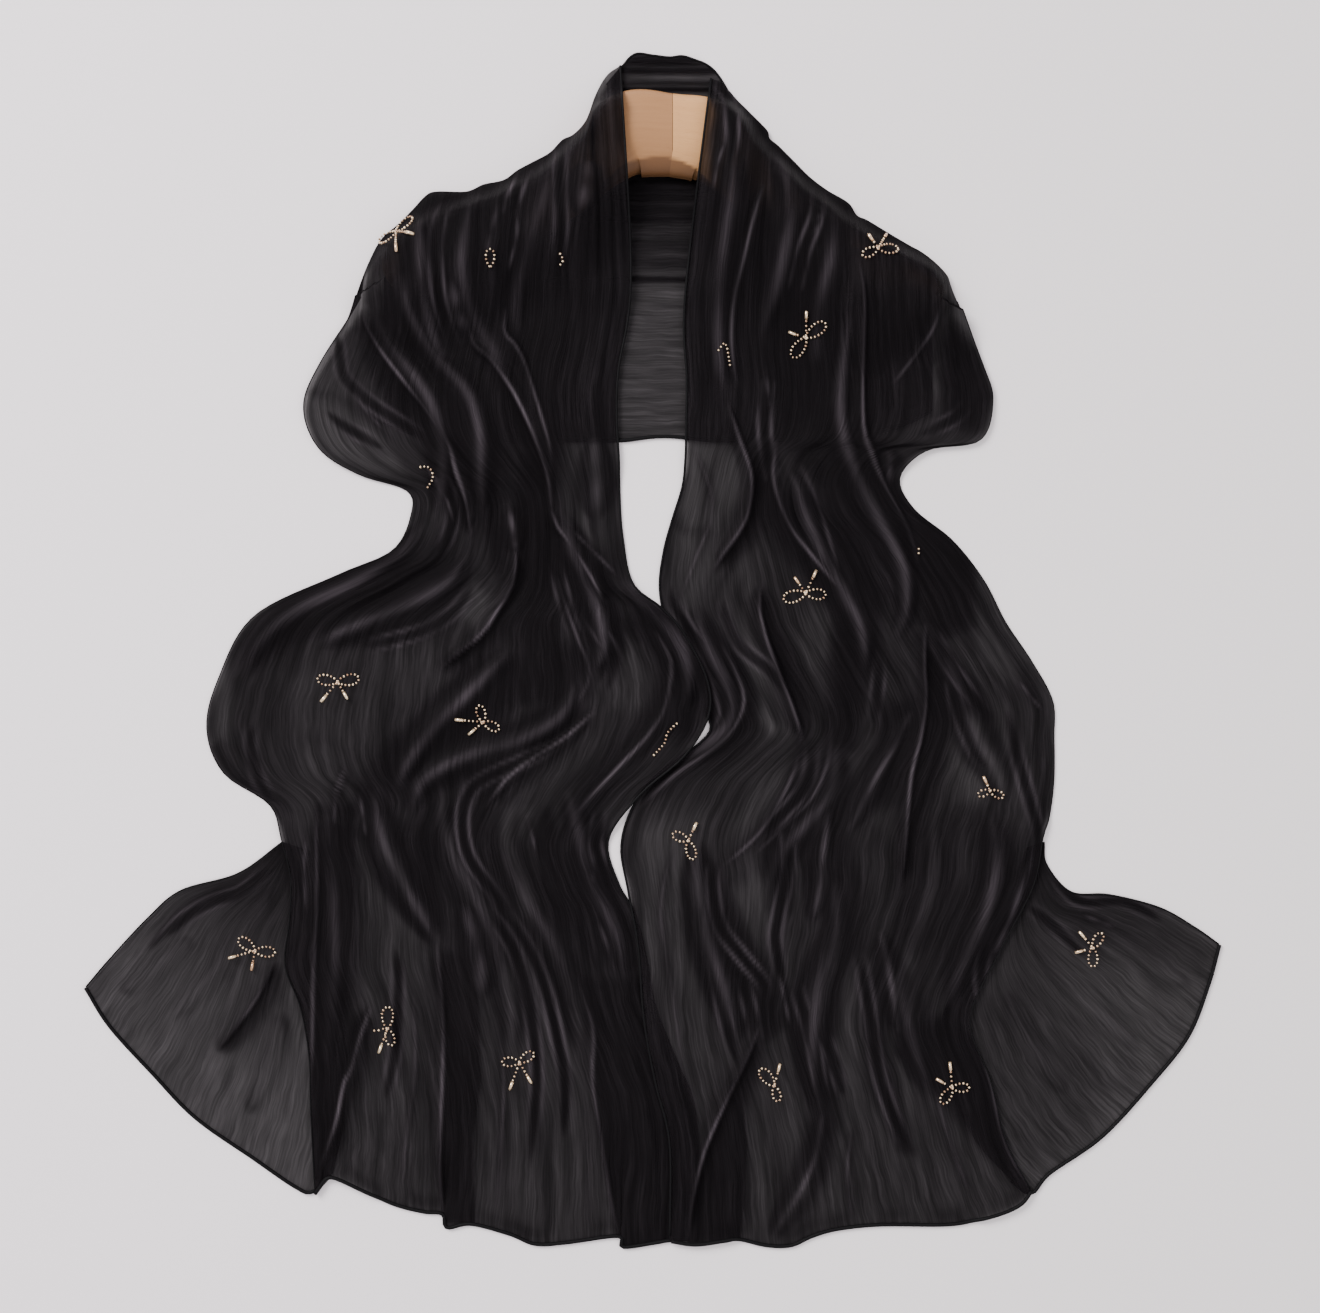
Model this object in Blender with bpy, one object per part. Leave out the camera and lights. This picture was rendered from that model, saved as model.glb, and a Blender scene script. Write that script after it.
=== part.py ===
"""Sheer crinkled shawl laid flat over a contoured wooden hanger.

The shawl's back stretch lies under the hanger. Its two fronts come over the
hanger's arms and lie down to the hem, where a corner fans out on each side.
All tables are in millimetres, seen from above: x to the right, y to the neck,
z up from the surface that the shawl lies on.
"""
import bpy
import numpy as np

MM = 0.001

# Cloth and seam sizes
WALL = 1.2
HEM_WIDTH = 3.0
HEM_EXTRA = 0.7
SEAM_GAP = 0.3
PLY_STEP = WALL + HEM_EXTRA + SEAM_GAP
STEEPEST = 2.2
SLOPE_STEP = 0.4

# Hanger sizes
HANGER_REST = WALL + SEAM_GAP
HANGER_JOINT_X = 14.0
CLOTH_OVER_WOOD = 3.4
TUCK_ABOVE_WOOD = 8.0
DRAPE_BELOW_WOOD = 46.0
EDGE_ROLL = 10.0

# Folds: share of a course where its ends fade, and how sharp a crest is
FOLD_FADE = 0.14
CREST_SHARPNESS = 1.4

# Slopes between one ply and two: length of a slope, and margin past the hidden edge
SLOPE_RUN = 12.0
EDGE_MARGIN = 16.0

# Heights on the plan where plies start to lie over each other
BACK_STARTS_Y = 112.0
PLEATS_LOW_Y = 232.0
PLEATS_HIGH_Y = 356.0
PLEATS_MIDDLE_X = 4.0
PLEATS_HALF_WIDTH = 52.0
PLEATS_ROOM = 2.8
BULGE_LOW_Y = -120.0
BULGE_HIGH_Y = 44.0
LAP_Y = -146.0
CORNERS_TOP_Y = -124.0
LEFT_CORNER_TUCK_X = -188.0
CORNER_FADE = 4.0
STAND_LEFT_X = -20.0
STAND_RIGHT_X = 38.0
WOOD_CLEARANCE = 3.0
WOOD_FADE = 8.0

# Rows and columns of each cloth wall
FRONT_COLUMNS = 29
FRONT_ROWS = 32
CORNER_COLUMNS = 12
CORNER_ROWS = 12

# Hanger spine from the neck to a shoulder end: x, y, half width, thickness
LEFT_ARM = (
    (HANGER_JOINT_X, 362, 31, 18), (-16, 360, 30, 18), (-38, 343, 22, 16), (-62, 322, 20, 14),
    (-100, 300, 22, 13), (-140, 284, 25, 13), (-166, 270, 23, 12),
)
RIGHT_ARM = (
    (HANGER_JOINT_X, 362, 31, 18), (40, 356, 29, 18), (60, 338, 23, 16), (80, 320, 21, 14),
    (115, 291, 22, 13), (150, 266, 23, 13), (182, 252, 22, 12),
)

# Shoulder, hem and corner edges: x, y
LEFT_SHOULDER = (
    (-203, 246), (-200, 268), (-190, 287), (-168, 308), (-150, 321), (-130, 321),
    (-104, 329), (-85, 341), (-63, 357), (-46, 369), (-40, 388), (-32, 402), (-22.5, 409),
)
RIGHT_SHOULDER = (
    (213, 244), (205, 263), (190, 277), (165, 292), (143, 304), (134, 315), (110, 331),
    (95, 348), (82, 358), (68, 376), (56, 388), (50, 395), (41, 400),
)
LEFT_HEM = (
    (-236, -380), (-229, -370), (-200, -379), (-160, -393), (-146, -400), (-120, -403),
    (-82, -415.5), (-50, -413), (-21, -417.5), (10, -413), (33, -412),
)
RIGHT_HEM = (
    (265, -378), (245, -393.5), (205, -402), (160, -402), (130, -405), (95, -417),
    (60, -413), (30, -415.5), (12, -413),
)
LEFT_CORNER_HEM = (
    (-397, -236), (-380, -263), (-350, -296), (-320, -327), (-280, -355), (-250, -375.5), (-238, -379),
    (-224, -366),
)
RIGHT_CORNER_HEM = (
    (397, -206), (389, -235), (375, -270), (350, -302), (315, -340), (278, -366), (265, -380),
    (250, -370),
)

# Rows down each front, neck to hem: outer x, outer y, inner x, inner y
LEFT_ROWS = (
    (-203, 246, -22.5, 409), (-233, 200, -15, 262), (-244, 170, -24, 195), (-233, 141, -25, 160),
    (-205, 123, -23.5, 135), (-172, 112, -23, 108), (-169, 95, -21, 80), (-182, 70, -14, 47),
    (-220, 53, 6, 30), (-279, 24, 22, 12), (-304, -20, 38, -20), (-312, -55, 39, -46),
    (-300, -86, 22, -74), (-268, -108, -8, -100), (-259, -134, -31, -132), (-253, -160, -24, -163),
    (-254, -190, -12, -185), (-257, -220, -4, -218), (-246, -250, 2, -250), (-240, -285, 17, -288),
    (-239, -320, 30, -325), (-236, -380, 33, -412),
)
RIGHT_ROWS = (
    (213, 244, 41, 400), (231, 200, 23, 250), (238, 175, 24, 190), (229, 147, 23.5, 155),
    (192, 140, 23, 135), (173, 121, 21, 115), (183, 99, 14, 92), (210, 77, 8, 70),
    (232, 49, 5, 44), (247, 20, 10, 18), (265, -7, 22, -10), (280, -35, 37, -42),
    (281, -60, 38, -60), (281, -90, 2, -88), (278, -115, -15, -112), (273, -131, -22, -138),
    (266, -165, -17, -168), (242, -212, -10, -208), (222, -258, -6, -258), (236, -300, 2, -302),
    (248, -345, 12, -345), (265, -378, 12, -413),
)
# Rows of the fanned corners, from the pinch down: outer x and y, then the end tucked under the front
LEFT_CORNER_ROWS = (
    (-259, -134, -240, -140), (-290, -156, -226, -185), (-330, -168, -217, -235),
    (-353, -187, -214, -285), (-380, -216, -216, -330), (-397, -236, -224, -366),
)
RIGHT_CORNER_ROWS = (
    (274, -134, 262, -138), (276, -150, 242, -185), (293, -169, 217, -225), (320, -171, 202, -262),
    (355, -180, 208, -305), (380, -194, 226, -343), (397, -206, 250, -370),
)

# Folds raised in a wall: height, half width before and after its crest, then the crest's course
LEFT_FOLDS = (
    (3.0, 9, 9, ((-161, 300), (-160, 262), (-153, 220), (-143, 196))),
    (6.0, 12, 8, ((-203, 232), (-190, 210), (-158, 168), (-142, 143), (-130, 103), (-127, 80))),
    (7.0, 12, 7, ((-136, 250), (-124, 212), (-98, 182), (-79, 140), (-70, 98))),
    (3.5, 7, 9, ((-93, 298), (-102, 255), (-97, 215), (-83, 182), (-70, 150))),
    (3.0, 8, 9, ((-44, 330), (-50, 290), (-42, 240), (-44, 180), (-40, 130), (-40, 92))),
    (6.0, 11, 8, ((-103, 104), (-96, 80), (-98, 45), (-118, 13), (-150, -14))),
    (4.0, 8, 8, ((-70, 97), (-60, 78), (-38, 42), (-20, 30))),
    (5.0, 9, 9, ((-62, 44), (-52, 8), (-44, -18), (-54, -42))),
    (7.0, 12, 8, ((2, 12), (12, -18), (2, -52), (-28, -86), (-52, -114), (-60, -142))),
    (5.0, 10, 8, ((-38, -40), (-60, -60), (-100, -88), (-118, -112), (-116, -145))),
    (4.5, 10, 9, ((-262, 14), (-234, 28), (-198, 45), (-162, 66), (-150, 92))),
    (3.5, 9, 8, ((-210, 0), (-166, 20), (-140, 34), (-124, 54))),
    (6.0, 11, 8, ((-180, -100), (-168, -75), (-150, -52), (-125, -27), (-96, 2))),
    (4.0, 9, 8, ((-296, -16), (-296, -52), (-284, -82), (-262, -104))),
    (4.0, 9, 8, ((-207, -78), (-216, -104), (-232, -150), (-236, -210), (-236, -300), (-232, -352))),
    (3.5, 8, 8, ((-203, -130), (-209, -180), (-207, -245), (-214, -300), (-226, -350))),
    (6.0, 11, 8, ((-192, -112), (-172, -165), (-150, -205), (-146, -280), (-148, -345), (-146, -396))),
    (5.0, 9, 9, ((-132, -150), (-104, -190), (-78, -232), (-70, -275), (-72, -340), (-82, -400))),
    (4.5, 9, 9, ((-80, -108), (-76, -145), (-92, -184), (-118, -222), (-110, -300), (-106, -390))),
    (4.5, 9, 7, ((-44, -128), (-46, -180), (-56, -222), (-42, -270), (-36, -340), (-26, -404))),
)
RIGHT_FOLDS = (
    (6.0, 9, 9, ((56, 350), (50, 285), (46, 225), (53, 172), (69, 125), (64, 92), (42, 56))),
    (3.0, 7, 8, ((80, 322), (66, 276), (70, 225), (80, 180), (84, 125), (97, 85), (130, 40))),
    (3.0, 8, 8, ((115, 298), (106, 262), (104, 215), (108, 165), (100, 130), (112, 92))),
    (7.0, 10, 9, ((140, 262), (134, 205), (132, 160), (150, 107), (172, 66), (176, 25), (166, 2))),
    (4.5, 9, 9, ((202, 226), (180, 198), (166, 160), (164, 122))),
    (3.5, 8, 8, ((222, 196), (208, 168), (186, 152))),
    (5.0, 9, 8, ((78, 46), (78, 10), (94, -32), (106, -62))),
    (4.0, 7, 9, ((56, 22), (70, -30), (62, -60), (30, -86), (8, -108))),
    (6.0, 9, 10, ((104, -76), (95, -103), (75, -127), (48, -152))),
    (4.5, 9, 8, ((132, 10), (126, -45), (123, -80), (122, -130), (112, -188))),
    (6.0, 10, 9, ((180, -40), (170, -65), (157, -87), (140, -124))),
    (6.0, 9, 11, ((192, 16), (190, -40), (178, -115), (172, -170), (164, -222), (172, -268))),
    (3.5, 9, 8, ((226, 40), (228, 0), (250, -40), (262, -90), (268, -124), (260, -160), (246, -196))),
    (4.0, 9, 9, ((216, -44), (222, -90), (218, -150), (214, -205), (206, -250))),
    (5.0, 8, 10, ((34, -150), (42, -190), (62, -222), (88, -240), (108, -290), (116, -345), (92, -400))),
    (5.0, 7, 10, ((74, -264), (50, -317), (36, -350), (28, -385), (25, -410))),
    (4.5, 9, 9, ((148, -170), (142, -225), (146, -290), (158, -340), (170, -392))),
    (4.0, 8, 8, ((196, -272), (212, -312), (234, -350), (254, -372))),
    (4.0, 9, 9, ((16, -128), (8, -180), (22, -240), (18, -300), (12, -360))),
)
LEFT_CORNER_FOLDS = (
    (5.0, 8, 9, ((-268, -150), (-300, -170), (-326, -186), (-358, -214), (-384, -238))),
    (4.0, 8, 8, ((-262, -165), (-290, -205), (-326, -250), (-350, -282))),
    (4.0, 8, 8, ((-262, -200), (-276, -245), (-296, -290), (-308, -326))),
    (3.5, 7, 8, ((-254, -240), (-262, -290), (-270, -350))),
)
RIGHT_CORNER_FOLDS = (
    (5.0, 8, 8, ((278, -146), (297, -178), (330, -182), (372, -198))),
    (4.0, 8, 8, ((270, -160), (285, -200), (330, -226), (378, -248))),
    (4.0, 8, 8, ((262, -190), (270, -236), (310, -276), (346, -298))),
    (3.5, 8, 8, ((250, -230), (256, -280), (284, -318), (312, -334))),
)
# Pleats of the back stretch below the neck: share of the way down from its upper edge, height
BACK_PLEATS = ((0.256, 2.4), (0.322, 2.0), (0.38, 1.7), (0.446, 1.9), (0.503, 1.6))
BACK_PLEAT_REACH = 0.03
BACK_PLAIN_SHARES = (0, 0.06, 0.13, 0.19, 0.57, 0.68, 0.82, 0.93, 0.987, 1)
BACK_PLACES = (-188, -150, -112, -78, -54, -40, -26, -13, 0, 13, 26, 38, 50, 64, 92, 126, 160, 196)
# Rolls of the neck stand: share of the way down from its upper edge, height
STAND_ROLLS = ((0.12, 1.2), (0.32, 2.2), (0.57, 1.5))
STAND_ROLL_REACH = 0.1
STAND_PLAIN_SHARES = (0, 0.75, 1)
STAND_PLACES = (-32, -27, -21, -16, -10, -3, 4, 12, 20, 28, 35, 41, 47, 53)

# Back stretch, column by column: x, lower y, upper y
BACK_COLUMNS = (
    (-188, 160, 272), (-168, 152, 296), (-146, 149, 308), (-120, 148, 314), (-92, 147, 326),
    (-62, 147, 345), (-44, 147, 360), (-20, 147, 374), (0, 149.5, 376), (16, 149.5, 376),
    (42, 147, 372), (62, 147, 360), (82, 147, 343), (104, 148, 324), (134, 150, 302),
    (160, 153, 282), (180, 160, 272), (196, 168, 258),
)
# Neck stand, column by column: x, lower y, upper y
STAND_COLUMNS = (
    (-32, 383, 396), (-27, 383, 402), (-21, 383, 409), (-12, 383, 417.5), (0, 383, 416.5), (12, 383, 415),
    (21, 383, 416), (30, 383, 413), (38, 383, 410), (44, 383, 405), (49, 383, 398), (53, 383, 391),
)


def course(points, count):
    """Sample a smooth curve through the points, evenly by length."""
    knots = np.array(points, dtype=float)
    padded = np.vstack([2 * knots[0] - knots[1], knots, 2 * knots[-1] - knots[-2]])
    samples = []
    for i in range(len(knots) - 1):
        p0, p1, p2, p3 = padded[i:i + 4]
        u = np.linspace(0, 1, 13)[:-1, None]
        tangent_in = 0.5 * (p2 - p0)
        tangent_out = 0.5 * (p3 - p1)
        samples.append((2 * u**3 - 3 * u**2 + 1) * p1 + (u**3 - 2 * u**2 + u) * tangent_in
                       + (3 * u**2 - 2 * u**3) * p2 + (u**3 - u**2) * tangent_out)
    samples.append(knots[-1:])
    line = np.vstack(samples)
    reach = np.concatenate([[0], np.cumsum(np.linalg.norm(np.diff(line[:, :2], axis=0), axis=1))])
    if np.isscalar(count):
        wanted = np.linspace(0, 1, count)
    else:
        wanted = np.asarray(count)
    return np.column_stack([np.interp(wanted * reach[-1], reach, line[:, k]) for k in range(line.shape[1])])


def smooth_step(value):
    value = np.clip(value, 0, 1)
    return value * value * (3 - 2 * value)


def nearest(x, y, line):
    """Distance to a polyline, the side it lies on, and the place along it from 0 to 1."""
    point = np.stack([x, y], axis=-1)[..., None, :]
    start = line[:-1, :2]
    step = line[1:, :2] - start
    along = np.clip(((point - start) * step).sum(-1) / (step * step).sum(-1), 0, 1)
    gap = point - (start + along[..., None] * step)
    distance = np.sqrt((gap * gap).sum(-1))
    best = distance.argmin(-1)[..., None]
    side = np.take_along_axis(step[:, 0] * gap[..., 1] - step[:, 1] * gap[..., 0], best, -1)[..., 0]
    place = (best[..., 0] + np.take_along_axis(along, best, -1)[..., 0]) / len(step)
    return np.take_along_axis(distance, best, -1)[..., 0], side, place


def fold_rise(x, y, folds):
    """Height that the folds add: the highest crest at each place."""
    total = np.zeros(np.shape(x))
    for height, before, after, points in folds:
        distance, side, place = nearest(x, y, course(points, 20))
        width = np.where(side > 0, before, after)
        ends = smooth_step(place / FOLD_FADE) * smooth_step((1 - place) / FOLD_FADE)
        crest = np.exp(-CREST_SHARPNESS * (distance / width) ** 2)
        total = np.maximum(total, height * ends * crest)
    return total


def wood_reach(x, y):
    """Distance outside the hanger's outline, the side of the spine, and the wood's thickness there."""
    best = None
    for arm, flip in ((LEFT_ARM, -1), (RIGHT_ARM, 1)):
        spine = course(arm, 40)
        distance, side, place = nearest(x, y, spine)
        half_width = np.interp(place, np.linspace(0, 1, 40), spine[:, 2])
        thickness = np.interp(place, np.linspace(0, 1, 40), spine[:, 3])
        found = (distance - half_width, side * flip, thickness)
        if best is None:
            best = found
        else:
            best = tuple(np.where(found[0] < best[0], new, old) for new, old in zip(found, best))
    return best


def over_hanger(x, y):
    """Rise of the cloth where it passes over the wood."""
    outside, side, thickness = wood_reach(x, y)
    reach = np.where(side > 0, TUCK_ABOVE_WOOD, DRAPE_BELOW_WOOD)
    return (thickness + CLOTH_OVER_WOOD) * smooth_step(1 - (outside + EDGE_ROLL) / (reach + EDGE_ROLL))


def rising(value, start, run):
    """0 before the start, 1 once the run is over."""
    return smooth_step((value - start) / run)


def over_back(x, y):
    """Rise of a front where it lies on the back stretch, with room for the pleats by the neck."""
    plain = PLY_STEP * rising(y, BACK_STARTS_Y, 2 * SLOPE_RUN)
    sideways = rising(PLEATS_HALF_WIDTH + 20 - np.abs(x - PLEATS_MIDDLE_X), 0, 2 * SLOPE_RUN)
    lengthways = rising(y, PLEATS_LOW_Y, 2 * SLOPE_RUN) * rising(-y, -PLEATS_HIGH_Y, 2 * SLOPE_RUN)
    return plain + PLEATS_ROOM * sideways * lengthways


def edge_at(y, rows, end):
    """X of a table's outer (0) or inner (2) ends at the height y on the plan."""
    return np.interp(-y, [-row[end + 1] for row in rows], [row[end] for row in rows])


def left_height(x, y):
    """The left front bulges over the right one, and is tucked under it below LAP_Y."""
    right_edge = edge_at(y, RIGHT_ROWS, 2)
    bulge = rising(y, BULGE_LOW_Y - EDGE_MARGIN, EDGE_MARGIN)
    bulge = bulge * rising(-y, -BULGE_HIGH_Y - EDGE_MARGIN, EDGE_MARGIN)
    bulge = bulge * rising(x, right_edge - EDGE_MARGIN - SLOPE_RUN, SLOPE_RUN)
    over_corner = rising(-y, -CORNERS_TOP_Y - SLOPE_RUN, SLOPE_RUN) * rising(-x, -LEFT_CORNER_TUCK_X, SLOPE_RUN)
    tucked = rising(-y, -LAP_Y, EDGE_MARGIN) * rising(x, right_edge - EDGE_MARGIN, SLOPE_RUN)
    plies = PLY_STEP * (bulge + over_corner)
    return over_back(x, y) + over_hanger(x, y) + plies + fold_rise(x, y, LEFT_FOLDS) * (1 - tucked)


def right_height(x, y):
    """The right front lies over the left one below LAP_Y, and under its bulge above that."""
    left_edge = edge_at(y, LEFT_ROWS, 2)
    corner_edge = edge_at(y, RIGHT_CORNER_ROWS, 2)
    lap = rising(-y, -LAP_Y, EDGE_MARGIN) * rising(left_edge - x, -2 * EDGE_MARGIN, SLOPE_RUN)
    over_corner = rising(-y, -CORNERS_TOP_Y - SLOPE_RUN, SLOPE_RUN)
    over_corner = over_corner * rising(x, corner_edge - EDGE_MARGIN - SLOPE_RUN, SLOPE_RUN)
    covered_span = rising(y, BULGE_LOW_Y, SLOPE_RUN) * rising(-y, -BULGE_HIGH_Y, SLOPE_RUN)
    covered = covered_span * rising(left_edge - x, -SLOPE_RUN, SLOPE_RUN)
    plies = PLY_STEP * (lap + over_corner)
    return over_back(x, y) + over_hanger(x, y) + plies + fold_rise(x, y, RIGHT_FOLDS) * (1 - covered)


def left_corner_height(x, y):
    return fold_rise(x, y, LEFT_CORNER_FOLDS) * rising(edge_at(y, LEFT_ROWS, 0) - x, CORNER_FADE, SLOPE_RUN)


def right_corner_height(x, y):
    return fold_rise(x, y, RIGHT_CORNER_FOLDS) * rising(x - edge_at(y, RIGHT_ROWS, 0), CORNER_FADE, SLOPE_RUN)


def share_down(x, y, columns):
    """Share of the way from a strip's upper edge to its lower edge."""
    line = strip_edges(columns, x)
    return (line[0] - y) / (line[0] - line[1])


def pleat_rise(share, pleats, reach):
    return sum(rise * smooth_step(1 - np.abs(share - at) / reach) for at, rise in pleats)


def back_height(x, y):
    outside, _, _ = wood_reach(x, y)
    pleats = pleat_rise(share_down(x, y, BACK_COLUMNS), BACK_PLEATS, BACK_PLEAT_REACH)
    shown = rising(PLEATS_HALF_WIDTH - np.abs(x - PLEATS_MIDDLE_X), 0, SLOPE_RUN)
    return pleats * shown * rising(outside, WOOD_CLEARANCE, WOOD_FADE)


def stand_height(x, y):
    outside, _, _ = wood_reach(x, y)
    rolls = pleat_rise(share_down(x, y, STAND_COLUMNS), STAND_ROLLS, STAND_ROLL_REACH)
    shown = rising(x, STAND_LEFT_X, SLOPE_RUN / 2) * rising(STAND_RIGHT_X - x, 0, SLOPE_RUN / 2)
    return rolls * shown * rising(outside, WOOD_CLEARANCE / 3, WOOD_FADE / 2)


def steps(count, length, dense=0.0):
    """Places from 0 to 1 with a hem row at both ends; dense draws rows towards the start."""
    hem = HEM_WIDTH / length
    u = np.linspace(0, 1, count - 1)
    u = u * (1 - dense) + dense * u**2
    return np.concatenate([[0], hem + u * (1 - 2 * hem), [1]])


def front_grid(rows, top, hem, columns, row_count, dense, top_depth, hem_depth):
    """Plan of a front: rows from outer edge to inner edge, bent to its shoulder and hem."""
    table = course([(r[0], r[1], r[2], r[3]) for r in rows], 400)
    middle = np.column_stack([table[:, 0] + table[:, 2], table[:, 1] + table[:, 3]]) / 2
    reach = np.concatenate([[0], np.cumsum(np.linalg.norm(np.diff(middle, axis=0), axis=1))])
    places = steps(row_count, reach[-1], dense)
    across = steps(columns, 240.0)
    ends = np.column_stack([np.interp(places * reach[-1], reach, table[:, k]) for k in range(4)])
    outer = ends[:, None, :2]
    inner = ends[:, None, 2:]
    grid = outer + (inner - outer) * across[None, :, None]
    top_shift = course(np.reshape(top, (-1, 2)), across) - grid[0]
    hem_shift = course(hem, across) - grid[-1]
    down = (places * reach[-1])[:, None, None]
    grid = grid + top_shift * (1 - smooth_step(down / top_depth))
    return grid + hem_shift * (1 - smooth_step((reach[-1] - down) / hem_depth))


def strip_edges(columns, x):
    """Upper and lower y of a strip at each x."""
    line = course([(column[0], column[2], column[1]) for column in columns], 120)
    return np.interp(x, line[:, 0], line[:, 1]), np.interp(x, line[:, 0], line[:, 2])


def strip_grid(columns, places, plain_shares, pleats, reach):
    """Plan of a strip: columns at the given x, and rows at its edges and at each pleat."""
    beside = [at + side * 0.75 * reach for at, _ in pleats for side in (-1, 0, 1)]
    share = np.array(sorted(list(plain_shares) + beside))[:, None]
    upper, lower = strip_edges(columns, np.array(places, dtype=float))
    y = upper + (lower - upper) * share
    return np.stack([np.broadcast_to(np.array(places, dtype=float), y.shape), y], axis=-1)


def wall_faces(rows, columns):
    """Faces of a closed wall whose upper points come before its lower points."""
    size = rows * columns
    faces = []
    for r in range(rows - 1):
        for c in range(columns - 1):
            a = r * columns + c
            quad = (a, a + 1, a + columns + 1, a + columns)
            halves = ((0, 1, 2), (0, 2, 3)) if (r + c) % 2 else ((0, 1, 3), (1, 2, 3))
            for half in halves:
                faces.append([quad[k] for k in half])
                faces.append([quad[k] + size for k in reversed(half)])
    rim = [c for c in range(columns)]
    rim += [r * columns + columns - 1 for r in range(1, rows)]
    rim += [(rows - 1) * columns + c for c in range(columns - 2, -1, -1)]
    rim += [r * columns for r in range(rows - 2, 0, -1)]
    for here, after in zip(rim, rim[1:] + rim[:1]):
        faces.append([here + size, after + size, after])
        faces.append([here + size, after, here])
    return faces


def cloth_wall(name, grid, height, colour, hemmed):
    """A wall of cloth from its plan and its height; its hem is the raised rim row."""
    x = grid[..., 0]
    y = grid[..., 1]
    low = height(x, y)
    slope_x = (height(x + SLOPE_STEP, y) - height(x - SLOPE_STEP, y)) / (2 * SLOPE_STEP)
    slope_y = (height(x, y + SLOPE_STEP) - height(x, y - SLOPE_STEP)) / (2 * SLOPE_STEP)
    thick = WALL * np.minimum(np.sqrt(1 + slope_x**2 + slope_y**2), STEEPEST)
    rim = np.zeros(x.shape)
    for side in hemmed:
        rim[side] = HEM_EXTRA
    thick = thick + rim
    upper = np.stack([x, y, low + thick], axis=-1).reshape(-1, 3)
    lower = np.stack([x, y, low], axis=-1).reshape(-1, 3)
    return solid(name, np.vstack([upper, lower]), wall_faces(*x.shape), colour, 0.55)


def solid(name, points, faces, colour, roughness):
    """A closed body from points in millimetres, with its faces turned outwards."""
    corners = points[np.array(faces)]
    volume = np.einsum("ij,ij->i", corners[:, 0], np.cross(corners[:, 1], corners[:, 2])).sum()
    if volume < 0:
        faces = [list(reversed(face)) for face in faces]
    mesh = bpy.data.meshes.new(name)
    mesh.from_pydata([tuple(point) for point in points * MM], [], faces)
    mesh.shade_smooth()
    material = bpy.data.materials.new(name + "_finish")
    material.use_nodes = True
    shader = material.node_tree.nodes["Principled BSDF"]
    shader.inputs["Base Color"].default_value = (*colour, 1)
    shader.inputs["Roughness"].default_value = roughness
    shader.inputs["Metallic"].default_value = 0
    mesh.materials.append(material)
    piece = bpy.data.objects.new(name, mesh)
    bpy.context.scene.collection.objects.link(piece)
    return piece


def hanger_arm(name, arm, joint_gap, colour):
    """One half of the hanger: rounded sections along its spine, closed at the glue joint and the end."""
    across = np.array([-1, -0.93, -0.72, -0.4, 0, 0.4, 0.72, 0.93, 1])
    spine = course(arm, 17)
    spine[0, 0] += joint_gap
    tangent = np.gradient(spine[:, :2], axis=0)
    tangent[0] = (np.sign(joint_gap), 0)
    tangent /= np.linalg.norm(tangent, axis=1)[:, None]
    sections = [(spine[i, :2], tangent[i], spine[i, 2], spine[i, 3]) for i in range(len(spine))]
    for turn in (30, 55, 74):
        angle = np.radians(turn)
        centre = spine[-1, :2] + tangent[-1] * spine[-1, 2] * np.sin(angle)
        sections.append((centre, tangent[-1], spine[-1, 2] * np.cos(angle), spine[-1, 3] * np.cos(angle) ** 0.5))
    points = []
    for centre, along, half_width, thickness in sections:
        normal = np.array([-along[1], along[0]])
        for v in across:
            x, y = centre + normal * v * half_width
            points.append((x, y, HANGER_REST + thickness * (0.25 + 0.75 * (1 - v**2) ** 0.5)))
        for v in across[::-1]:
            x, y = centre + normal * v * half_width
            points.append((x, y, HANGER_REST))
    ring = 2 * len(across)
    faces = []
    for s in range(len(sections) - 1):
        for k in range(ring):
            after = (k + 1) % ring
            a, b = s * ring + k, s * ring + after
            c, d = a + ring, b + ring
            faces.append([a, b, d])
            faces.append([a, d, c])
    half = len(across)
    for base, flip in ((0, True), ((len(sections) - 1) * ring, False)):
        for k in range(half - 1):
            low_k = ring - 1 - k
            cap = [[base + k, base + k + 1, base + low_k - 1], [base + k, base + low_k - 1, base + low_k]]
            faces += [list(reversed(c)) for c in cap] if flip else cap
    return solid(name, np.array(points), faces, colour, 0.45)


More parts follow.
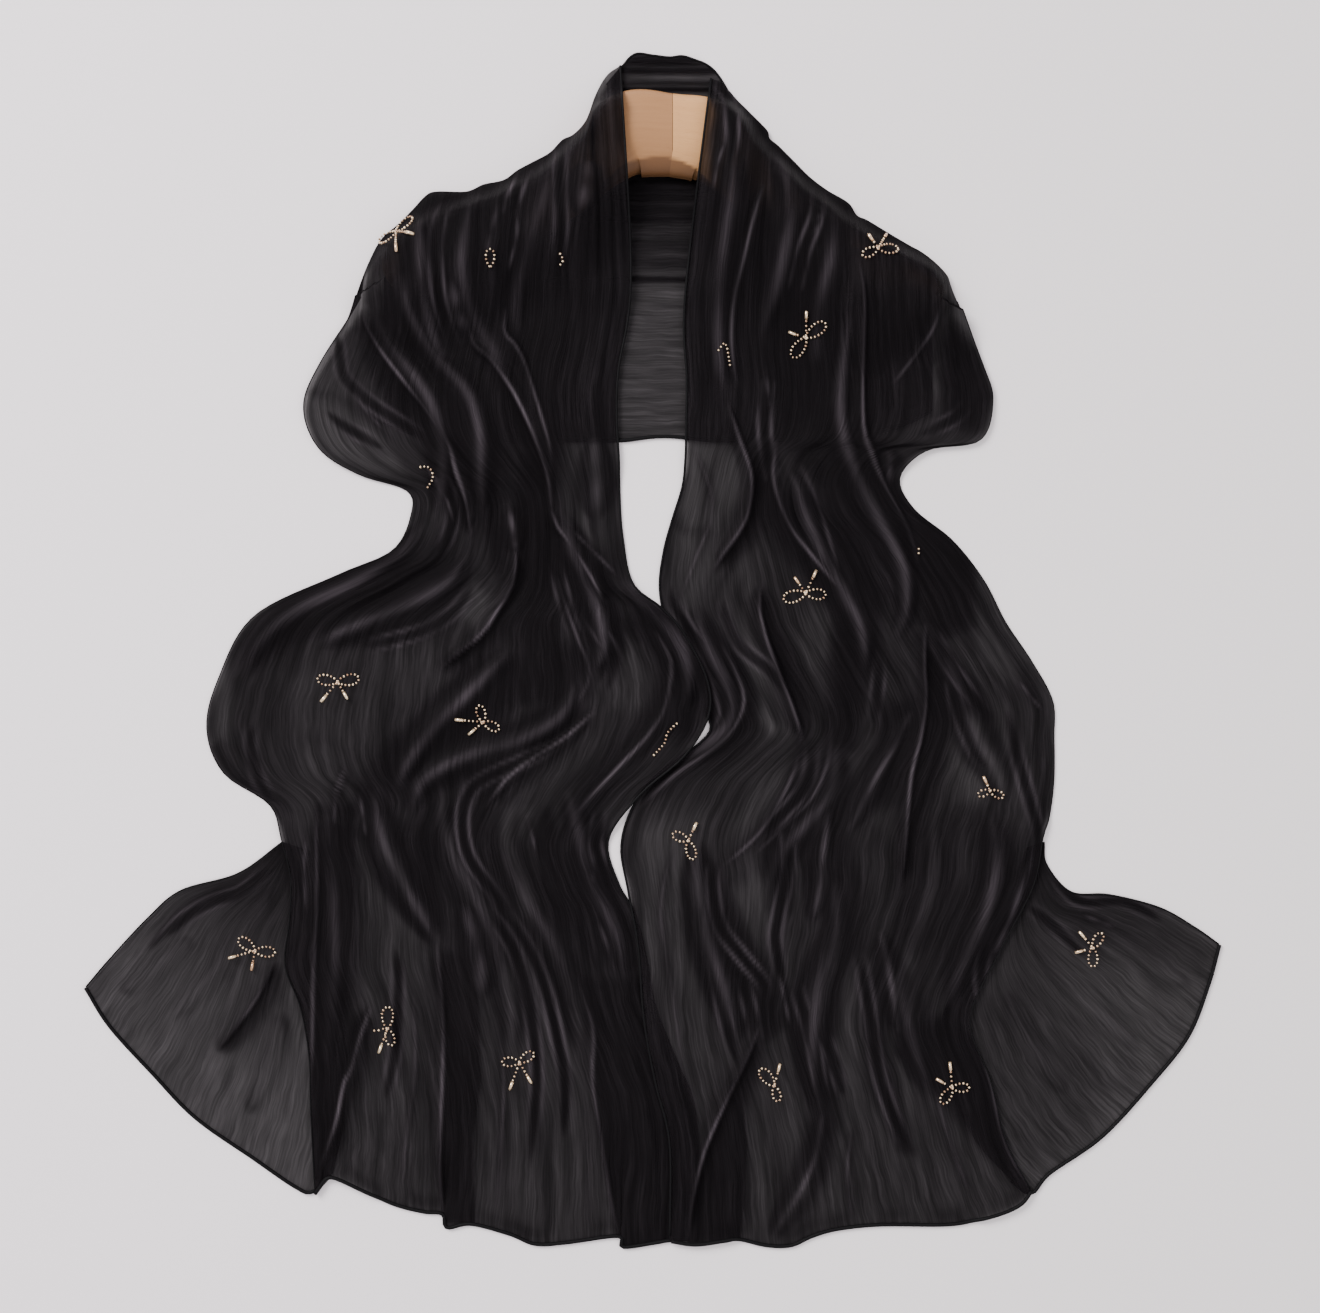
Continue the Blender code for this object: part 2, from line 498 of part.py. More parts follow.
def build():
    for old in list(bpy.data.objects):
        bpy.data.objects.remove(old, do_unlink=True)
    sheer_black = (0.018, 0.016, 0.018)
    pale_wood = (0.62, 0.42, 0.26)
    first, last, every = 0, -1, slice(None)
    hem_below = ((last, every),)
    free_sides = ((last, every), (every, last))
    corner_sides = ((last, every), (every, first))

    back = strip_grid(BACK_COLUMNS, BACK_PLACES, BACK_PLAIN_SHARES, BACK_PLEATS, BACK_PLEAT_REACH)
    cloth_wall("back_stretch", back, back_height, sheer_black, hem_below)
    stand = strip_grid(STAND_COLUMNS, STAND_PLACES, STAND_PLAIN_SHARES, STAND_ROLLS, STAND_ROLL_REACH)
    cloth_wall("neck_stand", stand, stand_height, sheer_black, ((first, every),))

    left = front_grid(LEFT_ROWS, LEFT_SHOULDER, LEFT_HEM, FRONT_COLUMNS, FRONT_ROWS, 0.5, 90, 60)
    cloth_wall("left_front", left, left_height, sheer_black, free_sides)
    right = front_grid(RIGHT_ROWS, RIGHT_SHOULDER, RIGHT_HEM, FRONT_COLUMNS, FRONT_ROWS, 0.5, 90, 60)
    cloth_wall("right_front", right, right_height, sheer_black, free_sides)

    left_fan = front_grid(LEFT_CORNER_ROWS, LEFT_CORNER_ROWS[0], LEFT_CORNER_HEM, CORNER_COLUMNS,
                          CORNER_ROWS, 0.0, 30, 130)
    cloth_wall("left_corner", left_fan, left_corner_height, sheer_black, corner_sides)
    right_fan = front_grid(RIGHT_CORNER_ROWS, RIGHT_CORNER_ROWS[0], RIGHT_CORNER_HEM, CORNER_COLUMNS,
                           CORNER_ROWS, 0.0, 30, 130)
    cloth_wall("right_corner", right_fan, right_corner_height, sheer_black, corner_sides)

    hanger_arm("hanger_left_arm", LEFT_ARM, -SEAM_GAP / 2, pale_wood)
    hanger_arm("hanger_right_arm", RIGHT_ARM, SEAM_GAP / 2, pale_wood)


build()
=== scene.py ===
"""Looks of a sheer crinkled shawl laid flat over a pale wooden hanger.

The shawl is one long cloth. Its back stretch lies under the hanger, and its two
fronts come over the arms and lie down to the hem. Tables are in millimetres,
seen from above: x to the right, y to the neck, z up from the floor.
"""
from collections import namedtuple

import bmesh
import bpy
import numpy as np
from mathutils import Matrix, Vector


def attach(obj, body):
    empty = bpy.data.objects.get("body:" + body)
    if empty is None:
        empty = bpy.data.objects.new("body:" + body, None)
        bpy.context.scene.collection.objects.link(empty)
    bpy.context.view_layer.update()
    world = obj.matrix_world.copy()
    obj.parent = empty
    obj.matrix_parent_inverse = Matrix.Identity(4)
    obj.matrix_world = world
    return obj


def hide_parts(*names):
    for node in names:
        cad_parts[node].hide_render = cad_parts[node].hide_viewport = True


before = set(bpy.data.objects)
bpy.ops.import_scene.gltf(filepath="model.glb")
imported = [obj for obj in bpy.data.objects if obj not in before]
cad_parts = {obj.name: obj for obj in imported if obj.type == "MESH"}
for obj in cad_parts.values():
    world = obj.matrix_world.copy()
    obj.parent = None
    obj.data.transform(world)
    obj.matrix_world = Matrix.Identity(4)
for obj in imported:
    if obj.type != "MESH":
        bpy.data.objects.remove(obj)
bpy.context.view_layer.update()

MM = 0.001

# Points along a table of rows, for the sheets' plans
ROW_SAMPLES = 600

# Cloth heights
PLY_STEP = 2.2
HANGER_REST = 1.5
SHEET_LIFT = 0.7
FRONT_PUFF = 1.08
CORNER_PUFF = 0.72
PUFF_EDGE = 16.0
GATHER_RISE = 3.4
CORNER_GATHER_RISE = 1.7
CORNER_GATHER_RUN = 150.0
GATHER_WAVES = 9
GATHER_FOLDS = 6
GATHER_SPREAD = 6.0
# Least and most of a wave's count, its sway, and the turns for each mm down the sheet
GATHER_COUNTS = (0.35, 1.25)
GATHER_SWAYS = (0.25, 0.6)
GATHER_SWAY_TURNS = (0.0008, 0.0024)
GATHER_FADE = 0.35
GATHER_FADE_TURNS = (0.001, 0.003)
FLAT_BY_FOLDS = 0.7
FLAT_AT_RISE = 3.0

# Hems
HEM_RADIUS = 1.35
SIDE_HEM_RADIUS = 0.8
OUTER_EDGE_RADIUS = 0.4
CORNER_SIDE_RADIUS = 0.56
HEM_ABOVE_SHEET = 0.3
HEM_REST = 0.6
HEM_SIDES = 8
CORD_ABOVE_FLOOR = 0.02

# Hanger
HANGER_LOWEST_Y = 180.0
HANGER_JOINT_X = 14.0
HANGER_GLUE_GAP = 0.3
SPINE_SAMPLES = 40
CLOTH_OVER_WOOD = 3.4
TUCK_ABOVE_WOOD = 8.0
DRAPE_BELOW_WOOD = 46.0
EDGE_ROLL = 10.0
ARM_SECTIONS = 90
ARM_ACROSS = 41
ARM_END_TURNS = (10, 20, 30, 40, 50, 60, 68, 75)
ARM_RIM = 0.25
# Painted shade where the wood turns down below the neck's arch: strength, start and run; then painted shade
# on its underside
FACE_SHADE = 0.9
FACE_START = -0.5
FACE_RUN = 1.6
UNDERSIDE_SHADE = 0.75

# Slopes between one ply and two
WOOD_MARGIN = 1.0
WOOD_MARGIN_RUN = 5.0
SLOPE_RUN = 12.0
EDGE_MARGIN = 16.0
BACK_STARTS_Y = 112.0
PLEATS_LOW_Y = 232.0
PLEATS_HIGH_Y = 356.0
PLEATS_MIDDLE_X = 4.0
PLEATS_HALF_WIDTH = 52.0
PLEATS_MARGIN = 20.0
PLEATS_ROOM = 2.8
BULGE_LOW_Y = -120.0
BULGE_HIGH_Y = 44.0
LAP_Y = -146.0
CORNERS_TOP_Y = -124.0
LEFT_CORNER_TUCK_X = -188.0
CORNER_TUCK = 4.0

# Folds
COURSE_STEPS = 12
FOLD_FADE = 0.14
FOLD_SAMPLES = 24
FOLD_SHARPNESS = 1.2
FOLD_TIP_WIDTH = 0.3
FOLD_TAPER = 0.9
# A fold's painted highlight comes and goes along it, and starts elsewhere on each fold
SHINE_WAVE = 0.38
SHINE_TURNS = 11
SHINE_START_X = 0.1
SHINE_START_Y = 0.07
BAND_EDGE = 0.8
BAND_SHARPNESS = 1.1
FACET_EDGE = 1.7
# Slopes darken: cloth at a slant hides more, and this also paints shade on the folds' sides
SLANT_SHADE = 1.5
SLANT_LIMIT = 0.7
LOWER_LIGHT = 0.40
LOWER_LIGHT_START = 190.0
LOWER_LIGHT_RUN = 110.0
STRIP_LIGHT = 0.35
PINCH_DARK = 0.55
PINCH_RUN = 60.0

# Width of each flow, which the crinkles follow
FRONT_FLOW = 260.0
CORNER_FLOW = 190.0
FLOW_UNIT = 100.0

# Share of the light that one ply lets through, and the plies added by crinkles, by dark places (partly
# painted shade at folds) and by light places
PLY_PASS = 0.23
CRINKLE_PLIES = 0.42
DARK_PLIES = 2.3
LIGHT_PLIES = -0.6
FEWEST_PLIES = 0.85
# Red, green and blue of the cloth's faint plum black, its own brightness, and a painted sheen along its
# crinkles
CLOTH_TINT = (1.05, 0.88, 1.02)
THREAD_BLACK = 0.0038
PAINTED_SHEEN = 0.012
# How much dark places dull that painted sheen
DARK_DULLS = 0.8
# A fold's painted highlight: the part that follows the fine crinkles, and the even part
SHINE_FINE = 0.7
SHINE_EVEN = 0.5
# Scale of the crinkles: across the flow, along it, and out of it, where a flat flow has no length
SWAY_SCALE = (5.0, 4.0, 1.0)
SWAY_WIDTH = 0.05
FINE_SCALE = (88.0, 2.6, 1.0)
BROAD_SCALE = (19.0, 0.9, 1.0)
# How a noise is stretched to run from 0 to 1: a factor, then a shift
FINE_CONTRAST = (2.6, -0.8)
BROAD_CONTRAST = (2.4, -0.7)
FINE_HEIGHT = 0.45
BROAD_HEIGHT = 0.55

# Colours, linear: the darker and the paler of two, or one alone
HEM_TONES = ((0.002, 0.0018, 0.002), (0.009, 0.0085, 0.0095))
LEFT_WOOD_TONES = ((0.26, 0.125, 0.054), (0.34, 0.172, 0.078))
RIGHT_WOOD_TONES = ((0.46, 0.23, 0.095), (0.56, 0.30, 0.13))
WOOD_PORE = (0.25, 0.115, 0.05)
# Painted shade of the wood where it turns down, and underneath
WOOD_FACE_SHADE = (0.11, 0.05, 0.022)
SEED_TONES = ((0.34, 0.19, 0.11), (0.84, 0.66, 0.46))
BUGLE_TONES = ((0.50, 0.27, 0.15), (0.95, 0.76, 0.52))
# The surface at its left and its right, its left brighter as painted light from that side, and its specks
SURFACE_PAINTED_LIGHT_TONES = ((0.93, 0.865, 0.905), (0.80, 0.755, 0.765))
SURFACE_SPECK = (0.6, 0.58, 0.59)

# Scale of the wood's rings and pores: along the grain, across it, and out of it
RING_SCALE = (2.2, 34.0, 1.0)
PORE_SCALE = (14.0, 190.0, 1.0)
PORE_CONTRAST = (2.2, -1.25)
# Scale of what has no grain, in turns for each metre
WEAVE_SCALE = (900.0, 900.0, 900.0)
SPECK_SCALE = (420.0, 420.0, 420.0)
SPECK_STRENGTH = 0.05
# The surface goes from its brighter, painted-lit tone at the left to the other at the right: a factor for
# each metre, then a shift
SURFACE_LIGHT_FALL = (1.05, 0.5)

# Beads
BEAD_PITCH = 2.6
BEAD_RADIUS = 0.88
BEAD_SIZE_SPREAD = 0.12
ROD_RADIUS = 1.15
ROD_LENGTH = 6.2
ROD_SIZE_SPREAD = 0.05
ROD_BEVEL = 0.3
BEAD_FLATNESS = 0.85
LOOP_WIDTH = 0.58
LOOP_POINTS = 40
KNOT_OPENING = 0.35
KNOT_ROOM = 1.6
BEADS_ABOVE_CLOTH = 0.7
CLOTH_SEARCH = 2.6
STRING_POINTS = 8

# The surface, and the camera above it, in metres
SURFACE_HALF = 4.0
SURFACE_DROP = 0.0002
WORLD_LIGHT = 1.1
CAMERA_AT = (0.00525, -0.0042, 1.6)
CAMERA_LENS = 62.3
CAMERA_SENSOR = 36.0

# Hanger spine from the neck to a shoulder end: x, y, half width, thickness
LEFT_ARM = (
    (HANGER_JOINT_X, 360, 28.5, 18), (-16, 360, 30, 18), (-38, 343, 22, 16), (-62, 322, 20, 14),
    (-100, 300, 22, 13), (-140, 284, 25, 13), (-166, 270, 23, 12),
)
RIGHT_ARM = (
    (HANGER_JOINT_X, 360, 28.5, 18), (40, 355, 29, 18), (60, 338, 23, 16), (80, 320, 21, 14),
    (115, 291, 22, 13), (150, 266, 23, 13), (182, 252, 22, 12),
)

# Shoulder, hem and corner edges: x, y
LEFT_SHOULDER = (
    (-203, 246), (-202, 258), (-199, 270), (-190, 287), (-178, 298), (-168, 308), (-158, 318.5),
    (-150, 321), (-130, 321), (-118, 326), (-104, 329), (-95, 335.5), (-85, 341), (-72, 348),
    (-63, 357), (-55, 360), (-46, 369), (-40, 388), (-32, 402), (-22.5, 409),
)
RIGHT_SHOULDER = (
    (213, 244), (208, 256), (205, 263), (190, 277), (180, 283), (165, 292), (150, 301), (143, 304),
    (137, 313), (122, 322), (110, 331), (100, 341), (88, 353), (82, 358), (80, 364), (68, 376),
    (60, 384), (54, 391), (48, 397), (41, 400),
)
LEFT_HEM = (
    (-236, -380), (-231, -373), (-229, -370), (-222, -369), (-200, -379), (-180, -388), (-160, -393),
    (-147, -394.5), (-144, -404), (-127, -401.5), (-100, -408.5), (-82, -415.5), (-60, -414.5),
    (-24, -410), (-21, -417.5), (0, -415), (12, -413), (33, -412),
)
RIGHT_HEM = (
    (265, -378), (258, -387), (245, -393.5), (225, -399), (205, -402), (160, -402), (130, -405),
    (112, -410), (97, -416.5), (80, -416.5), (60, -412), (50, -413), (30, -415.5), (12, -413),
)
LEFT_CORNER_HEM = (
    (-397, -236), (-380, -263), (-350, -296), (-320, -327), (-280, -355), (-250, -375.5), (-238, -379),
    (-224, -366),
)
RIGHT_CORNER_HEM = (
    (397, -206), (389, -235), (375, -270), (350, -302), (315, -340), (278, -366), (265, -380),
    (250, -370),
)

# Rows down each front, neck to hem: outer x, outer y, inner x, inner y
LEFT_ROWS = (
    (-203, 246, -22.5, 409), (-233, 200, -15, 262), (-244, 170, -24, 195), (-233, 141, -25, 160),
    (-205, 123, -23.5, 135), (-172, 112, -23, 108), (-169, 95, -21, 80), (-182, 70, -14, 47),
    (-220, 53, 6, 30), (-279, 24, 22, 12), (-304, -20, 38, -20), (-312, -55, 39, -46),
    (-300, -86, 22, -74), (-268, -108, -8, -100), (-259, -134, -31, -132), (-253, -160, -24, -163),
    (-254, -190, -12, -185), (-257, -220, -4, -218), (-246, -250, 2, -250), (-240, -285, 17, -288),
    (-239, -320, 30, -325), (-236, -380, 33, -412),
)
RIGHT_ROWS = (
    (213, 244, 41, 400), (231, 200, 23, 250), (238, 175, 24, 190), (229, 147, 23.5, 155),
    (192, 140, 23, 135), (173, 121, 21, 115), (183, 99, 14, 92), (210, 77, 8, 70),
    (232, 49, 5, 44), (247, 20, 10, 18), (265, -7, 22, -10), (280, -35, 37, -42),
    (281, -60, 38, -60), (281, -90, 2, -88), (278, -115, -15, -112), (273, -131, -22, -138),
    (266, -165, -17, -168), (242, -212, -10, -208), (222, -258, -6, -258), (236, -300, 2, -302),
    (248, -345, 12, -345), (265, -378, 12, -413),
)
# Rows of the fanned corners, from the pinch down: outer x and y, then the end tucked under the front
LEFT_CORNER_ROWS = (
    (-259, -134, -240, -140), (-290, -156, -226, -185), (-330, -168, -217, -235),
    (-353, -187, -214, -285), (-380, -216, -216, -330), (-397, -236, -224, -366),
)
RIGHT_CORNER_ROWS = (
    (274, -134, 262, -138), (276, -150, 242, -185), (293, -169, 217, -225), (320, -171, 202, -262),
    (355, -180, 208, -305), (380, -194, 226, -343), (397, -206, 250, -370),
)

# Back stretch and neck stand, column by column: x, lower y, upper y
BACK_COLUMNS = (
    (-188, 160, 272), (-168, 152, 296), (-146, 149, 308), (-120, 148, 314), (-92, 147, 326),
    (-62, 147, 345), (-44, 147, 360), (-20, 147, 374), (0, 149.5, 376), (16, 149.5, 376),
    (42, 147, 372), (62, 147, 360), (82, 147, 343), (104, 148, 324), (134, 150, 302),
    (160, 153, 282), (180, 160, 272), (196, 168, 258),
)
STAND_COLUMNS = (
    (-32, 383, 396), (-27, 383, 402), (-21, 383, 409), (-12, 383, 417.5), (0, 383, 416.5), (12, 383, 415),
    (21, 383, 416), (30, 383, 413), (38, 383, 410), (44, 383, 405), (49, 383, 398), (53, 383, 391),
)
# Bands across the back: y, half height, rise, dark
BACK_BANDS = (
    (326, 9, 1.6, 0.9), (317, 1.6, 0.0, 0.9), (309, 7, 2.0, 0.45), (302, 2.2, 0.0, 0.9), (294, 5, 1.6, 0.2),
    (284, 5, 1.8, 0.3), (272, 6, 1.8, 0.25), (260, 1.5, 0.6, 0.9),
)
# Bands across the neck stand: y, half height, rise, dark
STAND_BANDS = ((393, 1.4, 0.8, 0.8), (397.5, 1.6, 1.0, 0.3), (406, 1.8, 1.6, 0.8), (413, 3.0, 1.4, 0.9))

# A kind of fold: rise and its half widths; shine, a painted highlight, its distance from the course and half
# width;
# dark, painted shade in its crease and beside it, its distance from the course and half widths
Kind = namedtuple("Kind", "rise right left shine lip glow dark away dark_right dark_left")
KINDS = {
    "crest": Kind(6.6, 9, 9, 0.36, 0, 3.4, 0.80, 11, 5, 5),
    "soft": Kind(4.2, 8, 8, 0.30, 0, 3.6, 0.55, 10, 5, 5),
    "dark_left": Kind(6.0, 11, 3.0, 0.66, 0, 1.15, 0.95, 0, 1.6, 11),
    "dark_right": Kind(6.0, 3.0, 11, 0.66, 0, 1.15, 0.95, 0, 11, 1.6),
    "line": Kind(1.8, 2.5, 2.5, 0.52, 0, 1.1, 0.40, 0, 4, 4),
    "groove": Kind(0.0, 4, 4, 0.34, 4.6, 1.4, 1.00, 0, 3.0, 3.0),
    "valley": Kind(0.0, 9, 9, 0.0, 0, 4, 0.70, 0, 9, 9),
    "turned": Kind(0.0, 9, 9, 0.0, 0, 4, 0.92, 0, 11, 11),
    "swell": Kind(2.6, 9, 9, 0.08, 0, 3.5, 0.0, 10, 4, 4),
    "glow": Kind(5.0, 8, 8, 0.50, 0, 1.8, 0.55, 8, 4.5, 4.5),
}
# Folds of the fronts, neck to hem: kind, strength, course
LEFT_FOLDS = (
    ("turned", 1.0, ((-202, 256), (-188, 286), (-160, 313), (-128, 318), (-98, 330), (-66, 352),
     (-48, 374), (-36, 398))),
    ("soft", 0.4, ((-66, 346), (-76, 310), (-88, 272), (-96, 240), (-92, 214))),
    ("soft", 0.8, ((-120, 318), (-129, 290), (-132, 262), (-126, 236), (-114, 214), (-102, 190))),
    ("crest", 0.35, ((-226, -96), (-226, -130), (-222, -180), (-222, -230), (-228, -290))),
    ("crest", 0.4, ((-92, -96), (-104, -130), (-92, -166), (-72, -200), (-56, -240), (-50, -290))),
    ("crest", 0.45, ((-148, -92), (-144, -130), (-128, -164), (-112, -200), (-100, -240), (-98, -290))),
    ("soft", 0.7, ((-60, -96), (-52, -126), (-44, -160), (-26, -196), (-16, -236))),
    ("crest", 0.9, ((-174, 262), (-167, 232), (-151, 205), (-129, 180), (-120, 150), (-119, 120),
     (-116, 84))),
    ("crest", 0.8, ((-194, 236), (-184, 214), (-168, 194), (-154, 172), (-146, 146), (-146, 118),
     (-150, 92))),
    ("crest", 0.8, ((-160, 90), (-176, 68), (-206, 48), (-244, 30), (-272, 8), (-288, -20))),
    ("crest", 0.8, ((-128, 72), (-140, 50), (-165, 34), (-200, 20), (-236, 4))),
    ("crest", 0.9, ((-62, 96), (-56, 70), (-44, 44), (-36, 20), (-34, 0), (-44, -24))),
    ("crest", 0.8, ((-22, 50), (2, 28), (20, 4), (26, -20), (22, -44))),
    ("crest", 0.8, ((-52, -20), (-62, -44), (-90, -62), (-130, -74), (-160, -92), (-170, -120))),
    ("crest", 0.7, ((-161, 305), (-161, 290), (-160, 262), (-158, 245), (-153, 220), (-143, 198))),
    ("groove", 0.8, ((-143, 312), (-148, 295), (-150, 272), (-147, 240), (-138, 210))),
    ("dark_left", 0.8, ((-202, 240), (-200, 228), (-190, 210), (-175, 190), (-158, 168), (-146, 150))),
    ("dark_left", 1.0, ((-153, 163), (-142, 143), (-137, 125), (-130, 103), (-127, 80))),
    ("valley", 0.9, ((-133, 240), (-140, 205), (-131, 180), (-122, 160), (-117, 130), (-113, 100),
     (-107, 68), (-105, 36))),
    ("soft", 0.8, ((-137, 258), (-136, 240), (-130, 222))),
    ("dark_left", 1.0, ((-128, 226), (-124, 212), (-113, 203), (-98, 182), (-87, 160), (-79, 140),
     (-73, 120), (-70, 98))),
    ("glow", 0.25, ((-106, 310), (-111, 290), (-115, 272))),
    ("groove", 0.9, ((-88, 338), (-95, 315), (-99, 300))),
    ("line", 0.6, ((-93, 302), (-94, 285), (-100, 262))),
    ("dark_right", 0.7, ((-102, 240), (-103, 222), (-97, 215), (-90, 203), (-83, 182), (-77, 162),
     (-71, 140), (-70, 122))),
    ("groove", 0.8, ((-63, 355), (-64, 325), (-63, 298), (-66, 270))),
    ("soft", 0.8, ((-44, 338), (-45, 325), (-49, 300))),
    ("valley", 0.8, ((-85, 150), (-87, 110), (-86, 70), (-85, 30), (-82, 4))),
    ("soft", 0.6, ((-40, 150), (-39, 120), (-40, 90))),
    ("groove", 0.6, ((-222, 228), (-219, 210), (-216, 192), (-205, 180), (-190, 168), (-170, 155),
     (-158, 146))),
    ("groove", 0.5, ((-228, 168), (-220, 160), (-200, 148), (-186, 140))),
    ("line", 0.5, ((-208, 180), (-200, 168), (-188, 154))),
    ("valley", 0.5, ((-188, 196), (-176, 183), (-166, 172))),
    ("line", 0.6, ((-160, 132), (-146, 110), (-138, 88))),
    ("groove", 0.6, ((-150, 128), (-140, 100), (-143, 80), (-152, 64))),
    ("glow", 0.8, ((-101, 104), (-98, 88), (-95, 68))),
    ("dark_right", 1.0, ((-97, 74), (-95, 62), (-98, 45), (-108, 28), (-118, 13), (-130, 2),
     (-150, -14))),
    ("dark_left", 1.0, ((-71, 99), (-66, 86), (-60, 78), (-48, 60), (-38, 42), (-34, 30))),
    ("line", 0.5, ((-57, 85), (-40, 68), (-22, 50))),
    ("groove", 0.6, ((-68, 62), (-62, 36), (-54, 10))),
    ("line", 0.7, ((-67, 52), (-60, 30), (-52, 8), (-45, -10), (-45, -22), (-53, -38))),
    ("groove", 0.5, ((-48, 30), (-36, 12), (-30, 2), (-27, -9), (-32, -30))),
    ("dark_left", 0.8, ((2, 14), (12, -5), (13, -18), (8, -42), (0, -55), (-10, -67), (-30, -88),
     (-50, -110), (-57, -125), (-60, -142))),
    ("dark_left", 0.9, ((-38, -40), (-60, -60), (-80, -73), (-100, -88), (-112, -103), (-117, -112))),
    ("groove", 1.0, ((-70, -67), (-92, -78), (-118, -90), (-130, -102), (-133, -122), (-128, -145),
     (-112, -168), (-100, -186))),
    ("groove", 1.0, ((-103, -182), (-85, -212), (-74, -240), (-66, -275), (-61, -305), (-63, -345))),
    ("groove", 0.8, ((-118, -178), (-100, -203), (-90, -230), (-84, -260), (-81, -300), (-84, -340),
     (-86, -366))),
    ("valley", 0.6, ((-76, -104), (-70, -135), (-64, -165), (-56, -186), (-42, -212), (-36, -236))),
    ("line", 0.5, ((-88, -115), (-84, -130), (-80, -148))),
    ("glow", 0.3, ((-42, -138), (-42, -152), (-42, -166))),
    ("groove", 0.6, ((-36, -112), (-40, -135), (-34, -160))),
    ("valley", 0.8, ((-272, 4), (-235, 20), (-205, 35), (-180, 50), (-160, 62), (-150, 72), (-142, 96))),
    ("groove", 0.6, ((-204, 2), (-165, 12), (-140, 26), (-124, 46))),
    ("glow", 0.4, ((-236, 34), (-206, 48), (-180, 64), (-164, 86))),
    ("crest", 0.9, ((-179, -98), (-168, -75), (-150, -52), (-125, -27), (-96, 2))),
    ("valley", 0.8, ((-164, -108), (-150, -80), (-128, -50), (-104, -24), (-86, 6))),
    ("groove", 0.5, ((-280, -50), (-281, -68), (-275, -90), (-266, -108))),
    ("line", 0.6, ((-213, -78), (-221, -100), (-222, -122))),
    ("line", 0.6, ((-205, -98), (-202, -116), (-200, -130))),
    ("dark_right", 0.6, ((-235, -108), (-234, -170), (-237, -240), (-238, -280), (-240, -322))),
    ("line", 0.5, ((-241, -126), (-243, -150), (-242, -182))),
    ("dark_left", 1.0, ((-195, -246), (-204, -270), (-210, -292), (-215, -302), (-221, -330),
     (-232, -360))),
    ("groove", 0.7, ((-180, -206), (-178, -235), (-180, -280), (-187, -316))),
    ("crest", 0.8, ((-195, -96), (-187, -135), (-172, -165), (-158, -190), (-150, -207))),
    ("dark_right", 0.8, ((-151, -203), (-147, -240), (-146, -280), (-148, -345), (-147, -385),
     (-146, -396))),
    ("soft", 0.8, ((-132, -176), (-121, -215), (-119, -245))),
    ("dark_right", 0.6, ((-56, -222), (-45, -250), (-41, -270), (-42, -300), (-36, -340), (-28, -390),
     (-24, -410))),
    ("groove", 0.6, ((-37, -178), (-28, -203), (-22, -224))),
    ("line", 0.4, ((-108, -250), (-104, -300), (-106, -350), (-110, -396))),
    ("line", 0.4, ((-168, -230), (-166, -290), (-172, -340), (-176, -380))),
)
